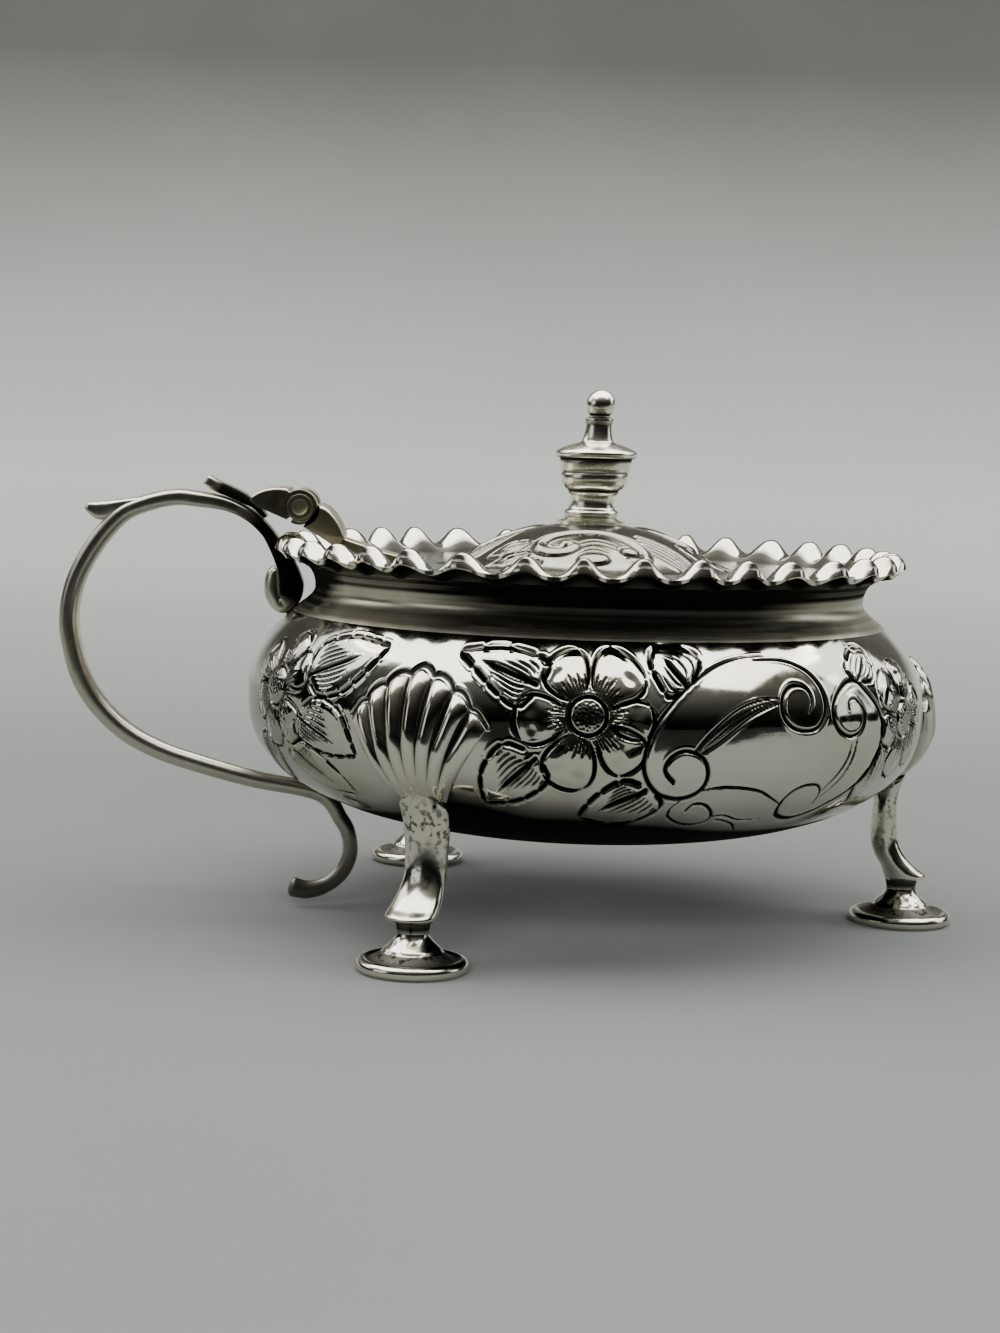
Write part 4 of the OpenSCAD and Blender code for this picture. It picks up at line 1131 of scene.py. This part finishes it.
def make_cover():
    """Cover: its outline turned round the axis with the chasing on the dome, over the same line one
    sheet lower."""
    upper = cover_line()
    dome = even_steps(upper[:-1], 120)
    brim = np.stack([np.linspace(dome[-1, 0], COVER_R, 10)[1:], np.full(9, COVER_TOP)], -1)
    line = np.concatenate([dome, brim])
    skin = turned(line, COVER_COLUMNS)
    patch = Chasing(skin[..., 0], skin[..., 1])
    chase_dome(patch)
    r = line[:, :1]
    fade = np.clip((r - CHASED_FROM_R) / 0.8, 0, 1) * np.clip(CHASED_TO_R - r, 0, 1)
    out = left_of(heading(line))
    rise = patch.height() * fade + 0.6 * hammer_marks(skin[..., 0], skin[..., 1]) * fade
    scale = 1 + rise * out[:, :1] / r
    skin = np.stack([skin[..., 0] * scale, skin[..., 1] * scale, skin[..., 2] + rise * out[:, 1:]], -1)
    low = even_steps(upper, 24)[::-1] - [0, COVER_T]
    points = np.concatenate([skin, turned(low, COVER_COLUMNS)])
    brim_dull = 0.3 * np.clip(r - BRIM_FROM_R, 0, 1)
    dull = np.maximum(np.maximum(0.85 * patch.tarnish, 0.35) * fade, brim_dull)
    tarnish = np.concatenate([dull, np.zeros((len(low), COVER_COLUMNS))])
    add_piece("domed_cover", points, "lid", ["cover"], COVER_SILVER, wrap_rows=True, sharp=60,
              tarnish=tarnish)


def make_finial():
    """Cast urn: a turned outline of mouldings, the cap, the bell stem, the collar and the ball, which
    leans a little to the front. The hollows between the mouldings are dark."""
    def urn(r, z):
        """Place in the outline, as shares of the cap's radius and the height."""
        return np.array([FINIAL_CAP_R * r, DOME_TOP + FINIAL_H * z])
    foot_r, ball_z = 0.857 * FINIAL_CAP_R, DOME_TOP + FINIAL_H - FINIAL_BALL_R
    seat = np.linspace(STUD_R, foot_r, 6)
    profile = np.concatenate([
        [[0, DOME_TOP - 2.6], [STUD_R, DOME_TOP - 2.6]],
        np.stack([seat, dome_height(seat) + FILM], -1),
        cubic(urn(0.857, 0.007), urn(0.72, 0.011), urn(0.68, 0.02), urn(0.64, 0.03), 8),
        arc(urn(0.57, 0.064), 0.1 * FINIAL_CAP_R, -60, 75, 12),
        cubic(urn(0.56, 0.11), urn(0.53, 0.14), urn(0.53, 0.18), urn(0.57, 0.212), 10),
        [urn(0.62, 0.22), urn(0.63, 0.23), urn(0.6, 0.238)],
        cubic(urn(0.63, 0.243), urn(0.8, 0.265), urn(0.85, 0.32), urn(0.82, 0.362), 12),
        [urn(0.8, 0.372), urn(0.84, 0.385)],
        cubic(urn(0.86, 0.4), urn(0.87, 0.42), urn(0.88, 0.44), urn(0.88, 0.462), 8),
        [urn(0.87, 0.474), urn(0.89, 0.481)],
        arc(urn(0.905, 0.514), 0.1 * FINIAL_CAP_R, -80, 70, 14),
        cubic(urn(0.9, 0.55), urn(0.75, 0.572), urn(0.6, 0.59), urn(0.45, 0.598), 12),
        cubic(urn(0.4, 0.606), urn(0.35, 0.64), urn(0.33, 0.69), urn(0.32, 0.735), 12),
        [urn(0.32, 0.744), urn(0.345, 0.752), urn(0.36, 0.768), urn(0.345, 0.783), urn(0.27, 0.79)],
        arc([0, ball_z], FINIAL_BALL_R, -48, 90, 24)])
    profile[-1, 0] = 0
    share = (profile[:, 1] - DOME_TOP) / FINIAL_H
    tarnish = np.zeros_like(share)
    hollows = [(0.03, 0.02, 0.1), (0.11, 0.03, 0.2), (0.24, 0.03, 0.8), (0.372, 0.02, 0.7),
               (0.474, 0.03, 1), (0.6, 0.02, 0.5), (0.745, 0.03, 0.6), (0.81, 0.03, 1)]
    for place, spread, dark in hollows:
        tarnish = np.maximum(tarnish, dark * bell((share - place) / spread))
    points = turned(profile, 120)
    lean = np.tan(np.radians(FINIAL_LEAN)) * np.clip(points[..., 2] - DOME_TOP, 0, None)
    points[..., 0] += lean * np.clip((points[..., 2] - DOME_TOP) / 2, 0, 1)
    add_piece("urn_finial", points, "lid", ["finial"], FINIAL_SILVER, sharp=50,
              tarnish=tarnish[:, None])


# Liner

def make_liner():
    """Blue glass pot: it follows the bowl inside, narrows to pass the neck, and has a rounded mouth."""
    seat = WALL + 0.1
    follow = beside(lower_line(200), seat)
    follow = follow[(follow[:, 0] < 0.97 * GLASS_R) & (follow[:, 1] < BELLY_Z)]
    follow[0] = [0, BOTTOM_Z + seat]
    follow = even_steps(follow, 40)
    wall = cubic(follow[-1] + [0.02 * GLASS_R, GLASS_T], [GLASS_R, BELLY_Z - GLASS_T],
                 [GLASS_R - GLASS_T / 2, BELLY_Z + GLASS_T],
                 [GLASS_R - GLASS_T / 4, GLASS_TOP - GLASS_T], 24)
    outside = np.concatenate([follow, wall, [[GLASS_R - 0.1, GLASS_TOP - 0.5]]])
    inside = beside(outside, GLASS_T)
    inside[0] = [0, BOTTOM_Z + seat + GLASS_T]
    inside[-1] = [GLASS_R - GLASS_T, GLASS_TOP - 0.5]
    mouth = arc([GLASS_R - GLASS_T / 2 - 0.05, GLASS_TOP - 0.6], 0.6, 20, 160, 8)
    points = turned(np.concatenate([outside, mouth, inside[::-1]]), 180)
    add_piece("blue_liner", points, "pot", ["glass_liner"], COBALT_GLASS, slot="blue_glass")


# Hinge

def plate_piece(name, outline, low_y, high_y, body, node, rounding=0.5):
    """Plate: an outline in the XZ plane from the hinge's axis, carried across the pot. Its upper edges
    are rounded by a quarter circle on both sides, and its other edges only a little."""
    line = np.asarray(outline, float)
    ahead = np.roll(line, -1, 0) - np.roll(line, 1, 0)
    ahead /= np.linalg.norm(ahead, axis=1, keepdims=True)
    after = np.roll(line, -1, 0)
    turn = np.sign((line[:, 0] * after[:, 1] - after[:, 0] * line[:, 1]).sum())
    inward = turn * left_of(ahead)
    little = 0.16
    upper = np.clip(-inward[:, 1:], little, 1)
    upper[np.linalg.norm(line, axis=1) < CAP_R + HINGE_GAP + 0.05] = little
    t = np.linspace(0, np.pi / 2, 7)
    inset = np.concatenate([1 - np.sin(t), (1 - np.sin(t))[::-1]])
    away = rounding * (1 - np.cos(t))
    across = np.concatenate([low_y + away, (high_y - away)[::-1]])
    xz = line + rounding * inset[:, None, None] * upper * inward + HINGE_XZ
    y = np.broadcast_to(across[:, None], xz.shape[:2])
    points = np.stack([xz[..., 0], y, xz[..., 1]], -1)
    tarnish = np.zeros(xz.shape[:2])
    tarnish[[0, -1]] = 0.45
    add_piece(name, points, body, [node], HINGE_SILVER, caps=True, sharp=35, tarnish=tarnish)


def turned_across(profile):
    """Turned form about the hinge's axis: a profile of radius and place across the pot."""
    a = np.linspace(0, 2 * np.pi, KNUCKLE_COLUMNS, endpoint=False)
    r, y = np.asarray(profile, float).T[..., None]
    x, z = HINGE_XZ
    return np.stack(np.broadcast_arrays(x + r * np.cos(a), y, z + r * np.sin(a)), -1)


def fixed_plate_line(bore, cap):
    """Fixed plate: the seat round the knuckles, the lower edge, and the scalloped top, which ends in a
    cap round the knuckle where it has one."""
    lower = [[-1.3, -1.3], [-4.25, -0.12], [-5.05, 0.5]]
    top = cubic([-4.95, 0.9], [-4.2, 1.6], [-2.8, 2.1], [-1.25, 1.8], 16)
    if cap:
        ring = arc([0, 0], cap, 126, -120, 50)
        return np.concatenate([arc([0, 0], bore, -120, 225, 60), lower, top, ring])
    return np.concatenate([arc([0, 0], bore, 127, 225, 20), lower, top])


def cover_plate_line(bore):
    """Cover's plate: the seat round the knuckle, the scalloped top, and the lower edge."""
    top = cubic([1.95, 0.25], [3, 0.3], [4.3, -1.6], [4.6, -3], 16)
    return np.concatenate([arc([0, 0], bore, -78, 7, 18), top, [[3.9, -4.1], [2, -2.9], [0.4, -2]]])


def knuckle_piece(name, start, end, body, node):
    """Knuckle: a tube with small chamfers, turned about the hinge's axis and darkened at its bore."""
    bore, chamfer = PIN_R + FILM, 0.12
    inward = chamfer * np.sign(end - start)
    line = [[bore, start], [bore + 0.2, start], [KNUCKLE_R - chamfer, start], [KNUCKLE_R, start + inward],
            [KNUCKLE_R, end - inward], [KNUCKLE_R - chamfer, end], [bore + 0.2, end], [bore, end]]
    dark = np.array([0.7, 0.5, 0.1, 0.4, 0.4, 0.1, 0.5, 0.7])
    add_piece(name, turned_across(line), body, [node], HINGE_SILVER, wrap_rows=True, sharp=30,
              tarnish=dark[:, None])


def make_hinge():
    """The fixed plate with its wings and knuckles, the cover's plate with its knuckle and tongue, and
    the pin."""
    half_w, gap, middle = HINGE_W / 2, HINGE_GAP, COVER_KNUCKLE_L / 2
    seam, rivet_h = 0.01, 0.1
    wing, cover_wing = fixed_plate_line(KNUCKLE_R + FILM, CAP_R), cover_plate_line(CAP_R + gap)
    for side, y in (("left", 1), ("right", -1)):
        near, far = sorted((y * (middle + gap), y * half_w))
        plate_piece(side + "_hinge_wing", wing, near, far, "pot", "hinge_plate", 0.3)
        near, far = sorted((y * (middle + seam), y * half_w))
        plate_piece(side + "_cover_wing", cover_wing, near, far, "lid", "cover_hinge_plate")
        knuckle_piece(side + "_hinge_knuckle", y * (middle + gap), y * half_w, "pot", side + "_knuckle")
    bridge = fixed_plate_line(KNUCKLE_R + gap, None)
    plate_piece("hinge_bridge", bridge, -middle - gap, middle + gap, "pot", "hinge_plate")
    cover_middle = cover_plate_line(KNUCKLE_R + FILM)
    plate_piece("cover_plate_middle", cover_middle, -middle, middle, "lid", "cover_hinge_plate")
    knuckle_piece("middle_knuckle", -middle, middle, "lid", "cover_knuckle")
    t = np.linspace(0, np.pi / 2, 9)
    rivet = np.stack([PIN_R * np.cos(t), half_w - 0.06 + rivet_h * np.sin(t)], -1)
    rivet[-1, 0] = 0
    pin = np.concatenate([rivet[::-1] * [1, -1], rivet])
    add_piece("riveted_pin", turned_across(pin), "pot", ["hinge_pin"], HINGE_SILVER, sharp=40)
    along = unit(np.array([-0.7, -1.1]))
    start = np.array([4.25, -3.55]) + FILM * left_of(along)
    rest = COVER_TOP - HINGE_XZ[1]
    tongue = [start - along * TONGUE_T / 2, start + along * TONGUE_T / 2, [start[0] + 4, rest + FILM],
              [start[0] + TONGUE_L, rest + FILM], [start[0] + TONGUE_L, rest + 0.6 * TONGUE_T],
              [start[0] + 4.6, rest + TONGUE_T]]
    plate_piece("cover_strip", tongue, -TONGUE_W / 2, TONGUE_W / 2, "lid", "cover_tongue", 0.2)


def finish_cad_nodes():
    """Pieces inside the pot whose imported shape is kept, with their own finish."""
    for node in ("cover_bezel", "finial_nut"):
        mesh = frame["nodes"][node].data
        mesh.materials.clear()
        mesh.materials.append(INNER_SILVER)


make_bowl()
make_rim()
make_legs()
make_feet()
make_handle()
make_thumb_leaf()
make_hinge()
make_cover()
make_finial()
make_liner()
finish_cad_nodes()


# Stage, light and camera

def add_stage(name, line, half_width, finish):
    """Sheet of the stage: a line of depth and height carried across the view."""
    x = np.linspace(-half_width, half_width, 9)
    points = np.stack(np.broadcast_arrays(x[None, :], line[:, :1], line[:, 1:]), -1)
    mesh = bpy.data.meshes.new(name)
    faces = grid_quads(len(line), len(x), False, False)
    mesh.from_pydata(points.reshape(-1, 3).tolist(), [], faces.tolist())
    mesh.shade_smooth()
    mesh.materials.append(finish)
    sheet = link_object(name, mesh)
    return sheet


def make_stage():
    """Pale sweep of paper that curves up behind the pot. In front of it lies a dark sheet outside the
    view,
    which shows only in the polished silver: a painted reflection of the dim room in front."""
    curve = arc([0.45, 0.35], 0.35, -90, 0, 24)
    sweep = np.concatenate([[[-0.75, 0]], curve, [[0.8, 1.6]]])
    grey_paper = paper_finish("grey_paper", PAPER_ON_FLOOR, PAPER_ON_WALL, PAPER_SHADED_AT_TOP)
    add_stage("paper_sweep", sweep, 1, grey_paper)
    reflection_sheet_z = 0.0015
    dark_paper = paper_finish("dark_paper", DARK_PAPER, DARK_PAPER, DARK_PAPER)
    reflection_sheet = add_stage("dark_reflection_sheet", np.array([[-1.2, reflection_sheet_z], [-0.1, reflection_sheet_z]]), 0.9, dark_paper)
    # Painted dark reflection: the camera, the diffuse light and the shadows pass the sheet by
    reflection_sheet.visible_camera = False
    reflection_sheet.visible_diffuse = False
    reflection_sheet.visible_shadow = False


def add_light(name, place, target, size, power, tone=(1, 1, 1)):
    """Soft rectangular light at a place, facing a target."""
    lamp = bpy.data.lights.new(name, "AREA")
    lamp.shape = "RECTANGLE"
    lamp.size, lamp.size_y = size
    lamp.energy = power
    lamp.color = tone
    light = link_object(name, lamp)
    light.location = place
    light.rotation_euler = (Vector(target) - Vector(place)).to_track_quat("-Z", "Y").to_euler()
    return light


def make_lights():
    """A large soft light overhead, weaker ones at the sides and the back, low ones that only brighten
    the matt papers, and a room that is dim in the silver."""
    add_light("overhead", (0.0, -0.02, 0.75), (0, -0.02, 0), (1.5, 0.8), 10, (1, 0.99, 0.96))
    add_light("wall_wash", (0.0, 0.5, 0.75), (0, 0.62, 0), (1.3, 0.25), 4)
    add_light("left_side", (-0.85, -0.35, 0.3), (0, 0, 0.03), (0.5, 0.4), 0.5)
    add_light("right_side", (0.9, 0.1, 0.35), (0, 0, 0.03), (0.3, 0.5), 0.5)
    for name, x in (("left_back", -0.8), ("right_back", 0.8)):
        add_light(name, (x, 0.4, 0.6), (0, 0, 0.03), (0.6, 0.5), 1.6)
    low_places = {"left_low": (-0.9, -0.15, 0.22), "right_low": (0.9, -0.15, 0.22),
                  "front_low": (0, -0.8, 0.35)}
    for name, place in low_places.items():
        add_light(name, place, (0, 0.05, 0), (0.6, 0.35), 7).visible_glossy = False
    world = bpy.data.worlds.new("dim_room")
    world.use_nodes = True
    tree = world.node_tree
    direction = tree.nodes.new("ShaderNodeTexCoord").outputs["Generated"]
    up = add_node(tree, "ShaderNodeSeparateXYZ", Vector=direction).outputs["Z"]
    ramp = add_node(tree, "ShaderNodeValToRGB", Fac=up)
    steps = ramp.color_ramp.elements
    for place, tone in ((0.25, 0.014), (0.5, 0.07), (0.72, 0.17)):
        steps.new(place).color = (tone, tone, 0.94 * tone, 1)
    steps[0].color = (0.0006, 0.0008, 0.0006, 1)
    steps[-1].color = (0.4, 0.4, 0.38, 1)
    seen = tree.nodes.new("ShaderNodeLightPath").outputs["Is Camera Ray"]
    room = mix_colours(tree, seen, ramp.outputs["Color"], ROOM)
    tree.links.new(room, tree.nodes["Background"].inputs["Color"])
    bpy.context.scene.world = world
    bpy.context.scene.view_settings.look = "AgX - Medium High Contrast"


def make_camera():
    """Camera at the photograph's place: just above the cover, looking a little down, with a slight
    roll."""
    yaw, pitch, roll = np.radians([CAMERA_YAW, CAMERA_PITCH, CAMERA_ROLL])
    ahead = np.array([np.sin(yaw) * np.cos(pitch), np.cos(yaw) * np.cos(pitch), -np.sin(pitch)])
    right = np.array([np.cos(yaw), -np.sin(yaw), 0])
    up = np.cross(right, ahead)
    x = np.cos(roll) * right + np.sin(roll) * up
    y = -np.sin(roll) * right + np.cos(roll) * up
    data = bpy.data.cameras.new("camera")
    data.sensor_width = 36
    data.sensor_fit = "AUTO"
    data.lens = CAMERA_LENS
    data.clip_start = 0.01
    camera = link_object("camera", data)
    matrix = Matrix(np.stack([x, y, -ahead], -1).tolist()).to_4x4()
    matrix.translation = Vector((CAMERA_AT + AXIS) * MM)
    camera.matrix_world = matrix
    bpy.context.scene.camera = camera


make_stage()
make_lights()
make_camera()
